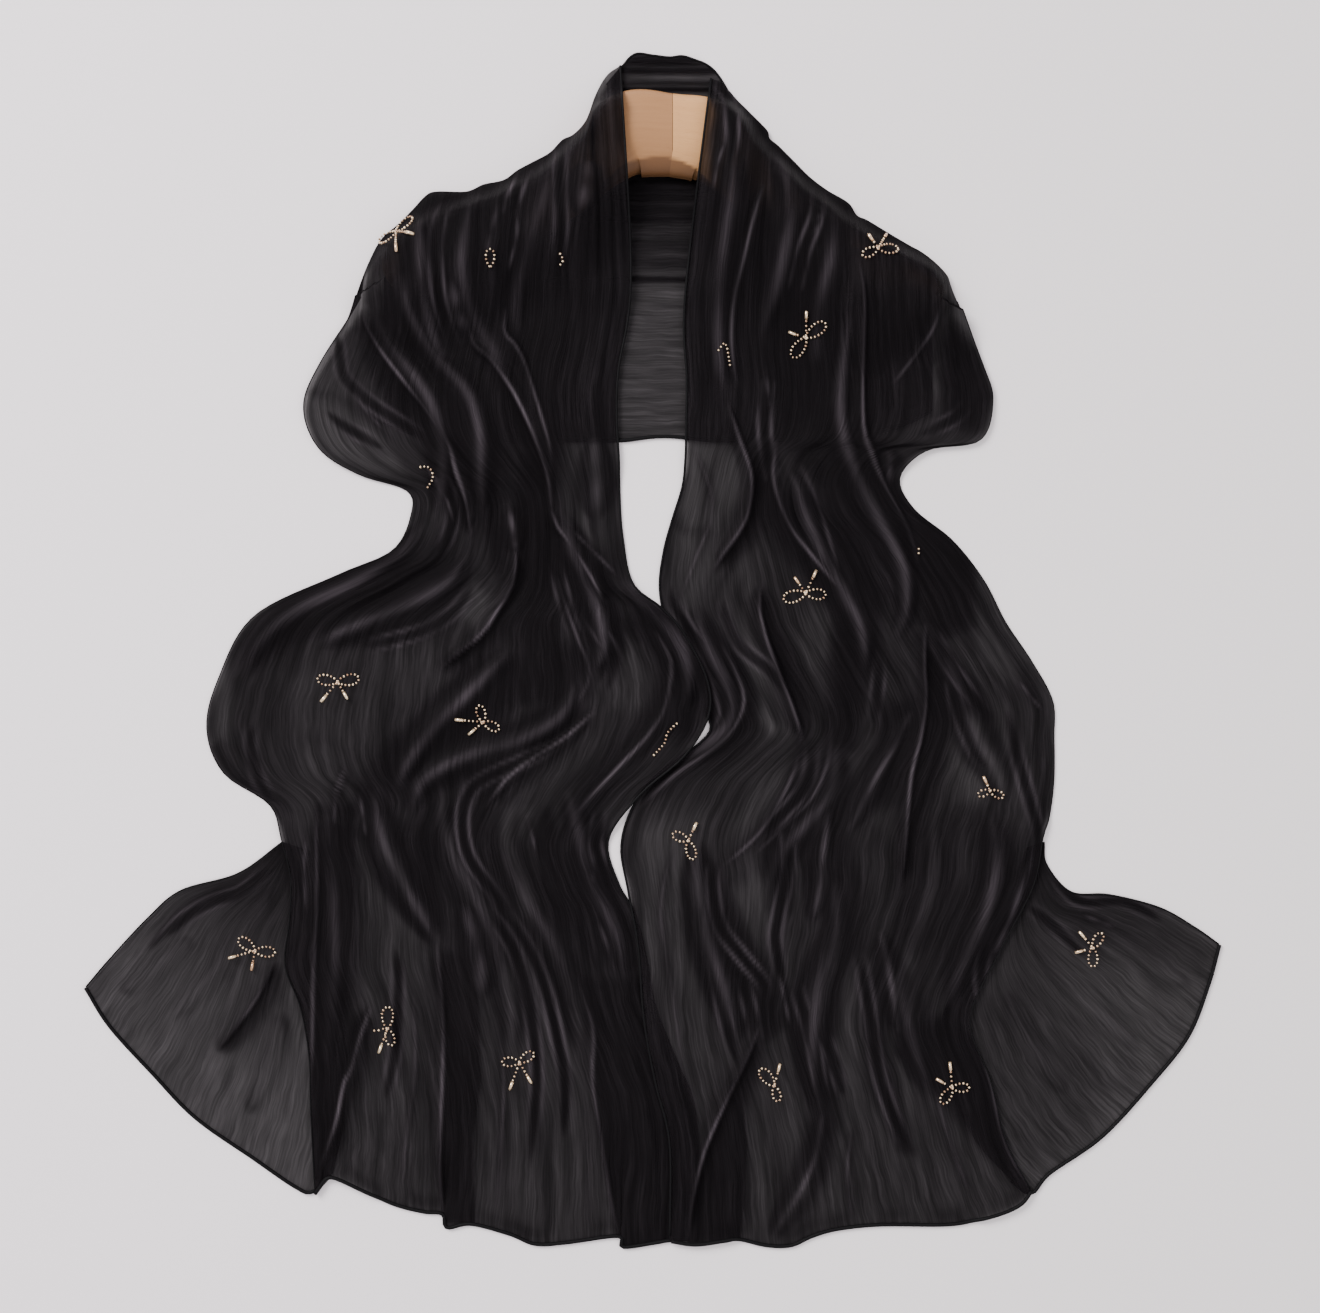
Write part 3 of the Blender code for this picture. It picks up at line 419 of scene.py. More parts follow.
RIGHT_FOLDS = (
    ("turned", 1.0, ((48, 396), (66, 376), (90, 348), (112, 328), (140, 306), (168, 288), (192, 272),
     (210, 248))),
    ("soft", 0.8, ((84, 350), (96, 312), (92, 280), (84, 244), (74, 214))),
    ("soft", 0.7, ((128, 312), (124, 276), (116, 240), (114, 200))),
    ("crest", 0.7, ((30, -128), (32, -166), (40, -204), (52, -244), (62, -282))),
    ("crest", 0.7, ((128, -160), (128, -200), (116, -236), (112, -280), (118, -330))),
    ("crest", 0.35, ((196, -110), (196, -160), (182, -200), (174, -236), (184, -280), (196, -320))),
    ("crest", 0.7, ((236, -110), (240, -150), (230, -190), (216, -224), (206, -250))),
    ("crest", 0.2, ((62, 62), (53, 36), (60, 10), (76, -14), (90, -40), (94, -64))),
    ("crest", 0.8, ((30, 32), (38, 4), (52, -24), (56, -44), (42, -62), (14, -80))),
    ("crest", 0.9, ((98, 124), (108, 92), (120, 66), (134, 40), (146, 14), (150, -20))),
    ("crest", 0.5, ((128, -66), (126, -96), (108, -120), (90, -142), (80, -170))),
    ("crest", 0.4, ((204, -4), (216, -30), (226, -60), (240, -84), (246, -110))),
    ("groove", 1.0, ((46, 398), (53, 385), (55, 362), (55, 350), (52, 333))),
    ("line", 0.6, ((51, 352), (45, 335), (42, 318))),
    ("crest", 0.8, ((58, 348), (55, 315), (50, 285), (47, 255), (46, 225), (48, 195), (53, 172))),
    ("dark_right", 1.0, ((52, 176), (60, 150), (69, 122), (67, 97), (60, 82), (50, 68), (40, 52))),
    ("dark_left", 0.7, ((78, 324), (71, 303), (63, 270), (57, 245), (55, 220), (57, 195), (61, 182))),
    ("groove", 0.9, ((116, 322), (113, 300), (105, 277), (99, 250))),
    ("glow", 0.5, ((116, 302), (112, 280))),
    ("dark_right", 0.8, ((142, 272), (146, 250), (147, 220), (147, 160), (152, 140), (160, 120),
     (170, 102), (180, 82), (186, 60))),
    ("crest", 1.0, ((138, 238), (134, 205), (131, 175), (133, 150), (140, 128), (150, 107), (160, 88),
     (170, 70), (177, 50), (177, 25), (167, 5))),
    ("line", 0.5, ((79, 198), (82, 168))),
    ("groove", 0.9, ((81, 190), (78, 160), (80, 138), (84, 118))),
    ("dark_left", 0.8, ((87, 148), (84, 125), (88, 105), (97, 85), (110, 68), (125, 50), (140, 31))),
    ("groove", 0.7, ((98, 130), (110, 105), (118, 80), (128, 48))),
    ("valley", 0.8, ((96, 230), (102, 190), (112, 160), (116, 134))),
    ("line", 0.6, ((199, 238), (193, 220), (175, 195), (167, 185))),
    ("glow", 0.5, ((165, 140), (166, 128), (165, 114))),
    ("groove", 0.4, ((220, 172), (212, 163), (199, 156), (186, 150))),
    ("valley", 0.9, ((196, 236), (178, 222), (162, 208), (156, 188))),
    ("line", 0.4, ((28, 146), (42, 102), (30, 64), (14, 24))),
    ("groove", 0.8, ((14, 48), (14, 35), (25, 15), (40, -8), (50, -35), (51, -47), (43, -64))),
    ("dark_left", 0.7, ((46, 8), (58, -15), (64, -35), (56, -55), (40, -70), (18, -85), (0, -101),
     (-8, -111))),
    ("dark_right", 1.0, ((77, 49), (75, 30), (79, 10), (87, -12), (96, -35), (103, -55), (105, -67))),
    ("groove", 0.7, ((50, 37), (51, 25), (62, 3), (80, -13), (94, -32))),
    ("line", 0.9, ((104, -70), (93, -98), (75, -127), (48, -152))),
    ("line", 0.6, ((125, -42), (123, -75), (112, -102), (92, -123), (70, -144))),
    ("groove", 0.7, ((112, -66), (108, -92), (92, -113), (76, -130))),
    ("glow", 0.7, ((124, -108), (118, -150), (117, -165), (111, -192))),
    ("glow", 0.7, ((181, -42), (170, -65), (157, -87), (143, -115), (137, -128))),
    ("dark_right", 1.0, ((191, 20), (190, -10), (191, -35), (187, -62), (181, -85), (178, -115),
     (176, -145), (172, -172))),
    ("groove", 0.5, ((158, -2), (158, -20), (154, -52))),
    ("groove", 0.6, ((196, 12), (205, -5), (220, -28), (234, -46))),
    ("groove", 0.6, ((209, -18), (213, -40), (225, -70), (235, -84))),
    ("valley", 0.5, ((146, 60), (142, 20), (140, -20), (138, -60))),
    ("groove", 0.7, ((247, -38), (254, -70), (262, -100), (269, -125), (270, -142), (263, -172))),
    ("line", 0.5, ((255, -20), (264, -32), (273, -42))),
    ("glow", 0.9, ((263, -146), (256, -170), (248, -192), (239, -212))),
    ("groove", 1.0, ((43, -148), (42, -165), (47, -192), (62, -213), (77, -232), (81, -246))),
    ("groove", 0.9, ((93, -118), (95, -150), (88, -185), (86, -205), (93, -242))),
    ("line", 0.7, ((88, -226), (92, -242), (96, -262))),
    ("groove", 0.8, ((100, -233), (112, -275), (119, -314))),
    ("groove", 0.6, ((120, -268), (128, -292), (134, -312))),
    ("groove", 0.7, ((42, -212), (50, -255), (60, -292))),
    ("groove", 0.6, ((62, -226), (68, -250), (73, -274))),
    ("dark_right", 0.9, ((76, -260), (65, -287), (50, -317), (36, -350), (28, -385), (25, -412))),
    ("glow", 0.6, ((119, -322), (114, -352), (103, -378), (88, -402), (84, -414))),
    ("groove", 0.9, ((144, -210), (152, -255), (158, -295), (170, -330), (179, -348))),
    ("glow", 0.7, ((159, -196), (165, -222), (172, -268))),
    ("groove", 0.6, ((233, -196), (230, -235), (243, -260), (266, -280))),
    ("valley", 0.3, ((205, -100), (210, -150), (206, -200), (192, -240), (186, -280))),
    ("dark_left", 0.6, ((214, -254), (228, -278), (237, -303), (243, -335), (252, -357), (264, -376))),
    ("line", 0.4, ((16, -130), (6, -180), (14, -240), (22, -300))),
    ("line", 0.4, ((196, -300), (206, -340), (222, -380))),
    ("line", 0.4, ((140, -330), (136, -366), (140, -400))),
)
LEFT_CORNER_FOLDS = (
    ("line", 0.6, ((-270, -148), (-290, -165), (-310, -171), (-325, -180), (-338, -191), (-356, -214))),
    ("groove", 0.6, ((-266, -150), (-288, -169), (-308, -176), (-326, -187), (-342, -202))),
    ("swell", 0.8, ((-262, -160), (-280, -190), (-310, -228), (-340, -262))),
    ("dark_right", 0.5, ((-262, -215), (-275, -240), (-290, -262), (-306, -282))),
    ("swell", 1.0, ((-258, -250), (-268, -290), (-284, -326))),
    ("swell", 0.8, ((-320, -200), (-350, -224), (-374, -240))),
)
RIGHT_CORNER_FOLDS = (
    ("groove", 0.6, ((275, -148), (297, -174), (330, -176), (358, -190))),
    ("line", 0.6, ((277, -146), (299, -171), (332, -173), (362, -186))),
    ("groove", 0.5, ((262, -178), (283, -195), (302, -214))),
    ("line", 0.5, ((298, -184), (312, -189), (324, -194))),
    ("swell", 0.8, ((262, -196), (290, -232), (326, -266), (344, -284))),
    ("swell", 1.0, ((246, -236), (264, -276), (292, -312))),
    ("swell", 0.8, ((310, -190), (346, -216), (378, -236))),
)
# Plies folded under: dark, then rows of y, left x, right x
LEFT_BANDS = (
    (0.55, ((-104, -236, -208), (-170, -236, -208), (-240, -237, -214), (-290, -238, -222),
     (-372, -239, -230))),
    (0.48, ((-205, -149, -138), (-240, -147, -122), (-300, -146, -120), (-340, -148, -126),
     (-402, -147, -124))),
    (0.45, ((-222, -54, 50), (-250, -46, 50), (-270, -42, 50), (-300, -42, 50), (-340, -36, 50),
     (-390, -28, 50), (-420, -23, 50))),
)
RIGHT_BANDS = (
    (0.60, ((-296, 56, 60), (-317, 50, 63), (-345, 38, 66), (-385, 28, 64), (-420, 24, 60))),
)
# Facets between the folds: dark (plies lie over one another) or light (one ply), how soft, outline
LEFT_FACETS = (
    (-0.7, 5, ((-200, 262), (-186, 284), (-168, 298), (-162, 284), (-176, 262), (-192, 250))),
    (-0.45, 5, ((-58, 348), (-42, 372), (-28, 378), (-20, 290), (-22, 262), (-56, 266))),
    (0.50, 6, ((-92, 256), (-36, 256), (-36, 200), (-92, 200))),
    (0.60, 4, ((-88, 150), (-72, 150), (-68, 100), (-58, 60), (-66, 30), (-74, 5), (-84, -5), (-92, 15),
     (-98, 40), (-94, 70), (-92, 110))),
    (0.70, 8, ((-160, 300), (-130, 318), (-100, 322), (-96, 290), (-112, 264), (-140, 262))),
    (0.50, 4, ((-70, 4), (-50, 4), (-44, -30), (-60, -46), (-78, -30))),
    (0.60, 4, ((-198, 235), (-188, 232), (-176, 205), (-166, 186), (-172, 178), (-190, 186),
     (-200, 205))),
    (0.50, 6, ((-92, 24), (-70, 30), (-66, 0), (-74, -34), (-90, -30), (-94, 0))),
    (0.55, 5, ((-84, -2), (-78, -20), (-110, -52), (-150, -72), (-178, -98), (-190, -128), (-210, -128),
     (-204, -95), (-180, -62), (-140, -35), (-108, -12))),
    (0.60, 5, ((-8, 28), (12, 14), (30, -14), (36, -40), (28, -58), (14, -62), (16, -40), (10, -10),
     (-4, 8), (-22, 18))),
    (0.40, 6, ((-132, 240), (-118, 196), (-104, 160), (-96, 130), (-94, 108), (-106, 110), (-116, 150),
     (-132, 190), (-142, 220))),
    (0.50, 4, ((-106, 235), (-98, 210), (-84, 180), (-76, 150), (-64, 150), (-66, 200), (-76, 240),
     (-80, 290), (-96, 290), (-104, 260))),
    (0.40, 6, ((-178, 250), (-166, 210), (-146, 172), (-134, 140), (-140, 128), (-158, 150), (-176, 172),
     (-188, 210), (-192, 250))),
    (0.35, 6, ((-286, 4), (-262, 16), (-220, 36), (-186, 54), (-168, 64), (-172, 52), (-212, 26),
     (-250, 8), (-276, -10))),
    (0.2, 5, ((-100, -150), (-84, -186), (-70, -216), (-62, -250), (-54, -250), (-58, -210), (-62, -170),
     (-70, -130), (-84, -120))),
    (0.3, 5, ((-132, -100), (-112, -96), (-110, -130), (-98, -160), (-104, -184), (-122, -166),
     (-134, -136))),
    (0.40, 5, ((-160, -110), (-150, -140), (-146, -190), (-156, -196), (-166, -160), (-176, -124))),
    (0.50, 4, ((-58, -132), (-36, -118), (-30, -140), (-30, -180), (-16, -220), (-30, -222), (-46, -180),
     (-56, -156))),
    (-0.75, 3, ((-243, 178), (-224, 178), (-206, 164), (-182, 142), (-172, 122), (-200, 124), (-226, 137),
     (-240, 154))),
    (-0.5, 4, ((-228, 206), (-216, 205), (-212, 190), (-196, 176), (-216, 176), (-240, 184))),
    (-0.8, 4, ((-130, 58), (-112, 36), (-112, 24), (-124, 12), (-142, 32), (-142, 46))),
    (-0.25, 6, ((-262, -16), (-230, -12), (-194, -22), (-182, -40), (-188, -60), (-216, -66),
     (-250, -58))),
    (-0.3, 8, ((-196, -6), (-166, 2), (-140, 12), (-136, 2), (-152, -16), (-172, -34), (-190, -34),
     (-200, -14))),
    (-1.0, 3, ((-308, -14), (-296, -6), (-294, -34), (-298, -62), (-309, -66))),
    (-0.3, 5, ((-250, -62), (-222, -66), (-212, -90), (-216, -124), (-240, -124), (-256, -100))),
    (-0.5, 5, ((-62, 150), (-28, 150), (-28, 80), (-40, 68), (-60, 84))),
    (-0.4, 5, ((-50, 58), (-22, 50), (-12, 34), (-28, 22), (-42, 34))),
    (-0.3, 8, ((-160, -12), (-100, -10), (-86, -42), (-110, -66), (-146, -52))),
    (-0.25, 6, ((-84, -44), (-42, -48), (-26, -80), (-50, -104), (-78, -120), (-112, -98), (-100, -80))),
    (-0.4, 5, ((-34, 6), (-10, 2), (0, -20), (-6, -46), (-28, -40), (-38, -16))),
    (-0.7, 4, ((-108, -106), (-84, -108), (-80, -150), (-84, -188), (-98, -190), (-100, -160),
     (-112, -135))),
    (-0.6, 5, ((-114, -220), (-99, -222), (-94, -282), (-108, -286))),
    (-0.4, 5, ((-82, -290), (-62, -290), (-60, -348), (-80, -350))),
    (-0.5, 6, ((-206, -120), (-186, -110), (-172, -170), (-158, -210), (-156, -280), (-164, -330),
     (-204, -330), (-206, -200))),
)
RIGHT_FACETS = (
    (0.75, 5, ((208, 226), (226, 210), (238, 178), (228, 156), (206, 160), (203, 190))),
    (-0.7, 5, ((170, 278), (200, 262), (210, 250), (196, 242), (172, 260))),
    (0.60, 4, ((60, 300), (92, 300), (110, 270), (116, 230), (100, 215), (82, 190), (66, 195),
     (58, 230))),
    (0.8, 5, ((90, 300), (128, 300), (130, 235), (126, 190), (128, 150), (118, 120), (104, 130),
     (92, 150), (84, 190))),
    (0.55, 4, ((72, 190), (82, 190), (81, 150), (84, 120), (78, 112), (72, 130), (73, 160))),
    (0.50, 5, ((116, 130), (134, 134), (146, 100), (162, 70), (166, 40), (156, 24), (146, 30), (136, 60),
     (120, 96))),
    (0.65, 5, ((152, 250), (190, 250), (200, 236), (176, 206), (158, 196), (152, 216))),
    (0.70, 4, ((184, 100), (200, 86), (222, 62), (222, 18), (200, 10), (190, 20), (186, 60))),
    (0.70, 5, ((130, 30), (146, 24), (146, -20), (138, -66), (122, -66), (126, -20))),
    (0.50, 5, ((186, 10), (200, 4), (222, -24), (236, -46), (214, -40), (206, -56), (196, -90),
     (188, -60))),
    (0.45, 5, ((160, -40), (186, -36), (182, -80), (168, -104), (150, -110), (158, -76))),
    (0.50, 5, ((104, -66), (120, -70), (116, -110), (96, -140), (94, -180), (84, -180), (86, -130),
     (100, -100))),
    (0.25, 5, ((120, -110), (136, -126), (146, -170), (150, -210), (138, -216), (124, -180),
     (122, -150))),
    (0.15, 5, ((172, -120), (182, -120), (182, -170), (194, -200), (184, -214), (170, -190))),
    (0.2, 5, ((214, -110), (252, -100), (254, -150), (240, -200), (226, -206), (222, -160))),
    (0.60, 4, ((44, -150), (52, -170), (64, -196), (82, -230), (90, -262), (80, -270), (66, -250),
     (44, -214), (38, -180))),
    (0.60, 4, ((176, -262), (212, -256), (226, -280), (238, -310), (244, -340), (250, -360), (232, -350),
     (208, -318), (182, -296), (172, -280))),
    (0.50, 5, ((96, -240), (108, -246), (124, -290), (128, -330), (112, -370), (104, -366), (112, -320),
     (100, -280))),
    (0.45, 4, ((146, -230), (156, -230), (162, -280), (176, -330), (182, -350), (172, -348),
     (154, -306))),
    (-0.8, 4, ((24, 146), (58, 146), (64, 128), (62, 104), (44, 84), (22, 84), (16, 100), (22, 120))),
    (-0.8, 5, ((14, 84), (40, 84), (46, 64), (34, 40), (20, 20), (8, 40))),
    (-0.5, 6, ((44, 76), (72, 84), (76, 50), (62, 14), (48, 12), (38, 40))),
    (-0.9, 4, ((58, 34), (70, 32), (78, 2), (90, -34), (95, -56), (84, -60), (70, -42), (60, -16),
     (54, 8))),
    (-0.5, 4, ((224, 54), (232, 48), (248, 16), (262, -6), (250, -20), (226, -8), (224, 20))),
    (-0.7, 8, ((206, -30), (244, -42), (262, -106), (250, -118), (216, -112), (202, -70))),
    (-1.0, 3, ((168, 194), (200, 200), (197, 182), (184, 168), (162, 168))),
    (-0.4, 4, ((160, 150), (172, 146), (174, 122), (166, 112), (158, 124))),
    (-0.5, 5, ((112, 44), (128, 40), (130, 28), (126, 0), (108, -16), (98, 4))),
    (-0.5, 6, ((154, -64), (176, -70), (182, -110), (168, -130), (150, -120))),
    (-0.6, 7, ((-14, -124), (16, -112), (36, -112), (38, -150), (36, -240), (40, -290), (10, -290),
     (-8, -220), (-14, -140))),
    (-0.6, 5, ((72, -92), (92, -76), (96, -92), (72, -122), (48, -136), (52, -120))),
    (-0.6, 4, ((56, -166), (84, -150), (84, -190), (76, -214), (60, -196), (50, -172))),
    (-0.3, 6, ((116, -330), (160, -330), (200, -350), (240, -380), (200, -402), (110, -404),
     (100, -390))),
    (-0.6, 5, ((160, -216), (196, -206), (200, -246), (176, -256), (164, -250))),
    (-0.5, 6, ((120, -214), (142, -220), (150, -280), (160, -320), (132, -320), (124, -270))),
)

RIGHT_CORNER_FACETS = (
    (0.12, 14, ((214, -236), (262, -226), (300, -262), (330, -302), (300, -346), (264, -372), (226, -336),
     (208, -270))),
    (0.12, 7, ((286, -174), (340, -178), (394, -206), (384, -228), (330, -206), (296, -200))),
)


# Beaded bows: knot x and y, then loops and tails, each a direction in degrees and a length.
# A tail ends in a rod. Where a fold hides the rest of a bow, only the loops or tails in view are given.
BOWS = (
    (-178, 291, ((45, 15), (205, 14)), ((-15, 11), (-85, 13))),
    (-112, 265, ((90, 12),), ()),
    (-220, -22, ((170, 14), (10, 15)), ((-130, 15), (-60, 11))),
    (-118, -50, ((105, 12), (-25, 12)), ((175, 17), (-140, 11))),
    (-278, -210, ((140, 14), (-5, 14)), ((-165, 16), (-100, 11))),
    (-185, -264, ((90, 15), (-75, 12)), ((-110, 15),)),
    (-93, -288, ((175, 12), (35, 12)), ((-110, 17), (-60, 14))),
    (156, 278, ((205, 12), (0, 14)), ((125, 9), (60, 13))),
    (107, 218, ((35, 16), (-125, 16)), ((90, 15), (160, 10))),
    (107, 40, ((-5, 14), (195, 16)), ((125, 11), (65, 15))),
    (25, -133, ((155, 12), (-75, 13)), ((65, 11),)),
    (236, -98, ((200, 9), (-25, 10)), ((115, 8),)),
    (308, -208, ((60, 12), (-90, 13)), ((130, 12), (195, 10))),
    (85, -304, ((130, 15), (-75, 11)), ((75, 13),)),
    (209, -305, ((-125, 13), (0, 12)), ((95, 15), (150, 10))),
)
# Strings of beads beside a fold that hides their bow: x and y, from one end to the other
STRINGS = (
    ((-64, 275), (-62, 271), (-64, 268)),
    ((-162, 128), (-156, 128), (-153, 121), (-157, 114)),
    ((46, 209), (51, 214), (54, 199)),
    ((17, -51), (10, -58), (9, -64), (1, -73)),
    ((186, 71), (186, 70), (186, 68)),
    ((-194, -265), (-191, -265), (-188, -264)),
)


def smooth_step(value):
    """0 to 1 with soft ends."""
    value = np.clip(value, 0, 1)
    return value * value * (3 - 2 * value)


def rising(value, start, run):
    """0 before the start, 1 once the run is over."""
    return smooth_step((value - start) / run)


def layered(under, over):
    """Two darks over each other, each from 0 to 1."""
    return 1 - (1 - under) * (1 - over)


def course(points, places):
    """Sample a smooth curve through the points, by length."""
    knots = np.array(points, dtype=float)
    padded = np.vstack([2 * knots[0] - knots[1], knots, 2 * knots[-1] - knots[-2]])
    samples = []
    for i in range(len(knots) - 1):
        before, start, end, after = padded[i:i + 4]
        u = np.linspace(0, 1, COURSE_STEPS + 1)[:-1, None]
        leave = 0.5 * (end - before)
        arrive = 0.5 * (after - start)
        samples.append((2 * u**3 - 3 * u**2 + 1) * start + (u**3 - 2 * u**2 + u) * leave
                       + (3 * u**2 - 2 * u**3) * end + (u**3 - u**2) * arrive)
    samples.append(knots[-1:])
    line = np.vstack(samples)
    reach = np.concatenate([[0], np.cumsum(np.linalg.norm(np.diff(line[:, :2], axis=0), axis=1))])
    wanted = np.linspace(0, 1, places) if np.isscalar(places) else np.asarray(places)
    return np.column_stack([np.interp(wanted * reach[-1], reach, line[:, k]) for k in range(line.shape[1])])


def nearest(x, y, line):
    """Distance to a polyline, the side it lies on, and the place along it from 0 to 1."""
    point = np.stack([x, y], axis=-1)[..., None, :]
    start = line[:-1, :2]
    step = line[1:, :2] - start
    along = np.clip(((point - start) * step).sum(-1) / (step * step).sum(-1), 0, 1)
    gap = point - (start + along[..., None] * step)
    distance = np.sqrt((gap * gap).sum(-1))
    best = distance.argmin(-1)[..., None]
    side = np.take_along_axis(step[:, 0] * gap[..., 1] - step[:, 1] * gap[..., 0], best, -1)[..., 0]
    place = (best[..., 0] + np.take_along_axis(along, best, -1)[..., 0]) / len(step)
    return np.take_along_axis(distance, best, -1)[..., 0], side, place


def inside(x, y, outline, soft):
    """1 within a closed outline, 0 outside it, with a soft edge."""
    corners = np.array(outline + outline[:1], dtype=float)
    low = corners.min(axis=0) - soft
    high = corners.max(axis=0) + soft
    near = (x > low[0]) & (x < high[0]) & (y > low[1]) & (y < high[1])
    found = np.zeros(x.shape)
    if not near.any():
        return found
    at_x, at_y = x[near], y[near]
    distance, _, _ = nearest(at_x, at_y, corners)
    within = np.zeros(at_x.shape, dtype=bool)
    for (x0, y0), (x1, y1) in zip(corners[:-1], corners[1:]):
        if y0 != y1:
            crosses = (y0 > at_y) != (y1 > at_y)
            within ^= crosses & (at_x < x0 + (x1 - x0) * (at_y - y0) / (y1 - y0))
    found[near] = smooth_step(0.5 + np.where(within, distance, -distance) / (2 * soft))
    return found


class Relief:
    """What a table of folds does to a sheet: rise in mm; and from 0 to 1 shine (painted highlight), dark
    (extra plies, and painted shade at folds) and light (fewer plies).
    """

    def __init__(self, x, y, folds, bands=(), facets=()):
        """Gather folds, bands and facets on a plan."""
        self.rise = np.zeros(x.shape)
        self.shine = np.zeros(x.shape)
        self.dark = np.zeros(x.shape)
        self.light = np.zeros(x.shape)
        for kind, strength, points in folds:
            self.add_fold(x, y, KINDS[kind], strength, points)
        for dark, rows in bands:
            self.add_band(x, y, dark, rows)
        for tone, soft, outline in facets:
            mask = inside(x, y, outline, FACET_EDGE * soft) * abs(tone)
            if tone > 0:
                self.dark = layered(self.dark, mask)
            else:
                self.light = np.maximum(self.light, mask)

    def add_fold(self, x, y, kind, strength, points):
        """Raise the places near a fold's course, paint a highlight along it, and paint shade in its crease
        and beside it.
        """
        line = course(points, FOLD_SAMPLES)
        reach = 3 * max(kind.right, kind.left, kind.dark_right, kind.dark_left) + kind.away
        low = line.min(axis=0) - reach
        high = line.max(axis=0) + reach
        near = (x > low[0]) & (x < high[0]) & (y > low[1]) & (y < high[1])
        if not near.any():
            return
        distance, side, place = nearest(x[near], y[near], line)
        ends = smooth_step(place / FOLD_FADE) * smooth_step((1 - place) / FOLD_FADE) * strength
        tapered = np.sin(np.pi * np.clip(place, 0, 1)) ** FOLD_TAPER
        turn = SHINE_TURNS * place + SHINE_START_X * line[0, 0] + SHINE_START_Y * line[0, 1]
        uneven = tapered * (1 - SHINE_WAVE + SHINE_WAVE * np.sin(turn))
        pointed = FOLD_TIP_WIDTH + (1 - FOLD_TIP_WIDTH) * tapered
        width = np.where(side > 0, kind.right, kind.left) * pointed
        dark_width = np.where(side > 0, kind.dark_right, kind.dark_left) * pointed
        crest = kind.rise * ends * np.exp(-FOLD_SHARPNESS * (distance / width) ** 2)
        self.rise[near] = np.maximum(self.rise[near], crest)
        # Painted highlight along the fold, and painted shade in its crease and beside it
        glint = kind.shine * strength * uneven * np.exp(-((distance - kind.lip) / kind.glow) ** 2)
        self.shine[near] = np.maximum(self.shine[near], glint)
        shade = kind.dark * ends * np.exp(-((distance - kind.away * pointed) / dark_width) ** 2)
        self.dark[near] = layered(self.dark[near], shade)

    def add_band(self, x, y, dark, rows):
        """Darken a band between two edges that run down the sheet."""
        down = [-row[0] for row in rows]
        left = np.interp(-y, down, [row[1] for row in rows])
        right = np.interp(-y, down, [row[2] for row in rows])
        within = rising(x, left - BAND_EDGE, 2 * BAND_EDGE) * rising(-x, -right - BAND_EDGE, 2 * BAND_EDGE)
        within = within * rising(-y, down[0], SLOPE_RUN) * rising(y, rows[-1][0], SLOPE_RUN / 4)
        self.dark = layered(self.dark, dark * within)


def wood_reach(x, y):
    """Distance outside the hanger's outline, the side of the spine, and the wood's thickness."""
    best = None
    for arm, flip in ((LEFT_ARM, -1), (RIGHT_ARM, 1)):
        spine = course(arm, SPINE_SAMPLES)
        places = np.linspace(0, 1, SPINE_SAMPLES)
        distance, side, place = nearest(x, y, spine)
        half_width = np.interp(place, places, spine[:, 2])
        thickness = np.interp(place, places, spine[:, 3])
        found = (distance - half_width, side * flip, thickness)
        if best is None:
            best = found
        else:
            best = tuple(np.where(found[0] < best[0], new, old) for new, old in zip(found, best))
    return best


def over_hanger(x, y):
    """Rise of the cloth where it passes over the wood."""
    rise = np.zeros(x.shape)
    near = y > HANGER_LOWEST_Y
    if near.any():
        outside, side, thickness = wood_reach(x[near], y[near])
        reach = np.where(side > 0, TUCK_ABOVE_WOOD, DRAPE_BELOW_WOOD)
        fall = (outside + EDGE_ROLL) / (reach + EDGE_ROLL)
        rise[near] = (thickness + CLOTH_OVER_WOOD) * smooth_step(1 - fall)
    return rise


def over_back(x, y):
    """Rise of a front where it lies on the back stretch, with room for the pleats by the neck."""
    plain = PLY_STEP * rising(y, BACK_STARTS_Y, 2 * SLOPE_RUN)
    sideways = rising(PLEATS_HALF_WIDTH + PLEATS_MARGIN - np.abs(x - PLEATS_MIDDLE_X), 0, 2 * SLOPE_RUN)
    lengthways = rising(y, PLEATS_LOW_Y, 2 * SLOPE_RUN) * rising(-y, -PLEATS_HIGH_Y, 2 * SLOPE_RUN)
    return plain + PLEATS_ROOM * sideways * lengthways


def edge_at(y, rows, end):
    """X of a table's outer (0) or inner (2) ends at the height y on the plan."""
    return np.interp(-y, [-row[end + 1] for row in rows], [row[end] for row in rows])


def left_base(x, y):
    """The left front bulges over the right one, and is tucked under it below LAP_Y."""
    right_edge = edge_at(y, RIGHT_ROWS, 2)
    bulge = rising(y, BULGE_LOW_Y - EDGE_MARGIN, EDGE_MARGIN)
    bulge = bulge * rising(-y, -BULGE_HIGH_Y - EDGE_MARGIN, EDGE_MARGIN)
    bulge = bulge * rising(x, right_edge - EDGE_MARGIN - SLOPE_RUN, SLOPE_RUN)
    over_corner = rising(-y, -CORNERS_TOP_Y - SLOPE_RUN, SLOPE_RUN)
    over_corner = over_corner * rising(-x, -LEFT_CORNER_TUCK_X, SLOPE_RUN)
    tucked = rising(-y, -LAP_Y, EDGE_MARGIN) * rising(x, right_edge - EDGE_MARGIN, SLOPE_RUN)
    return over_back(x, y) + over_hanger(x, y) + PLY_STEP * (bulge + over_corner), 1 - tucked


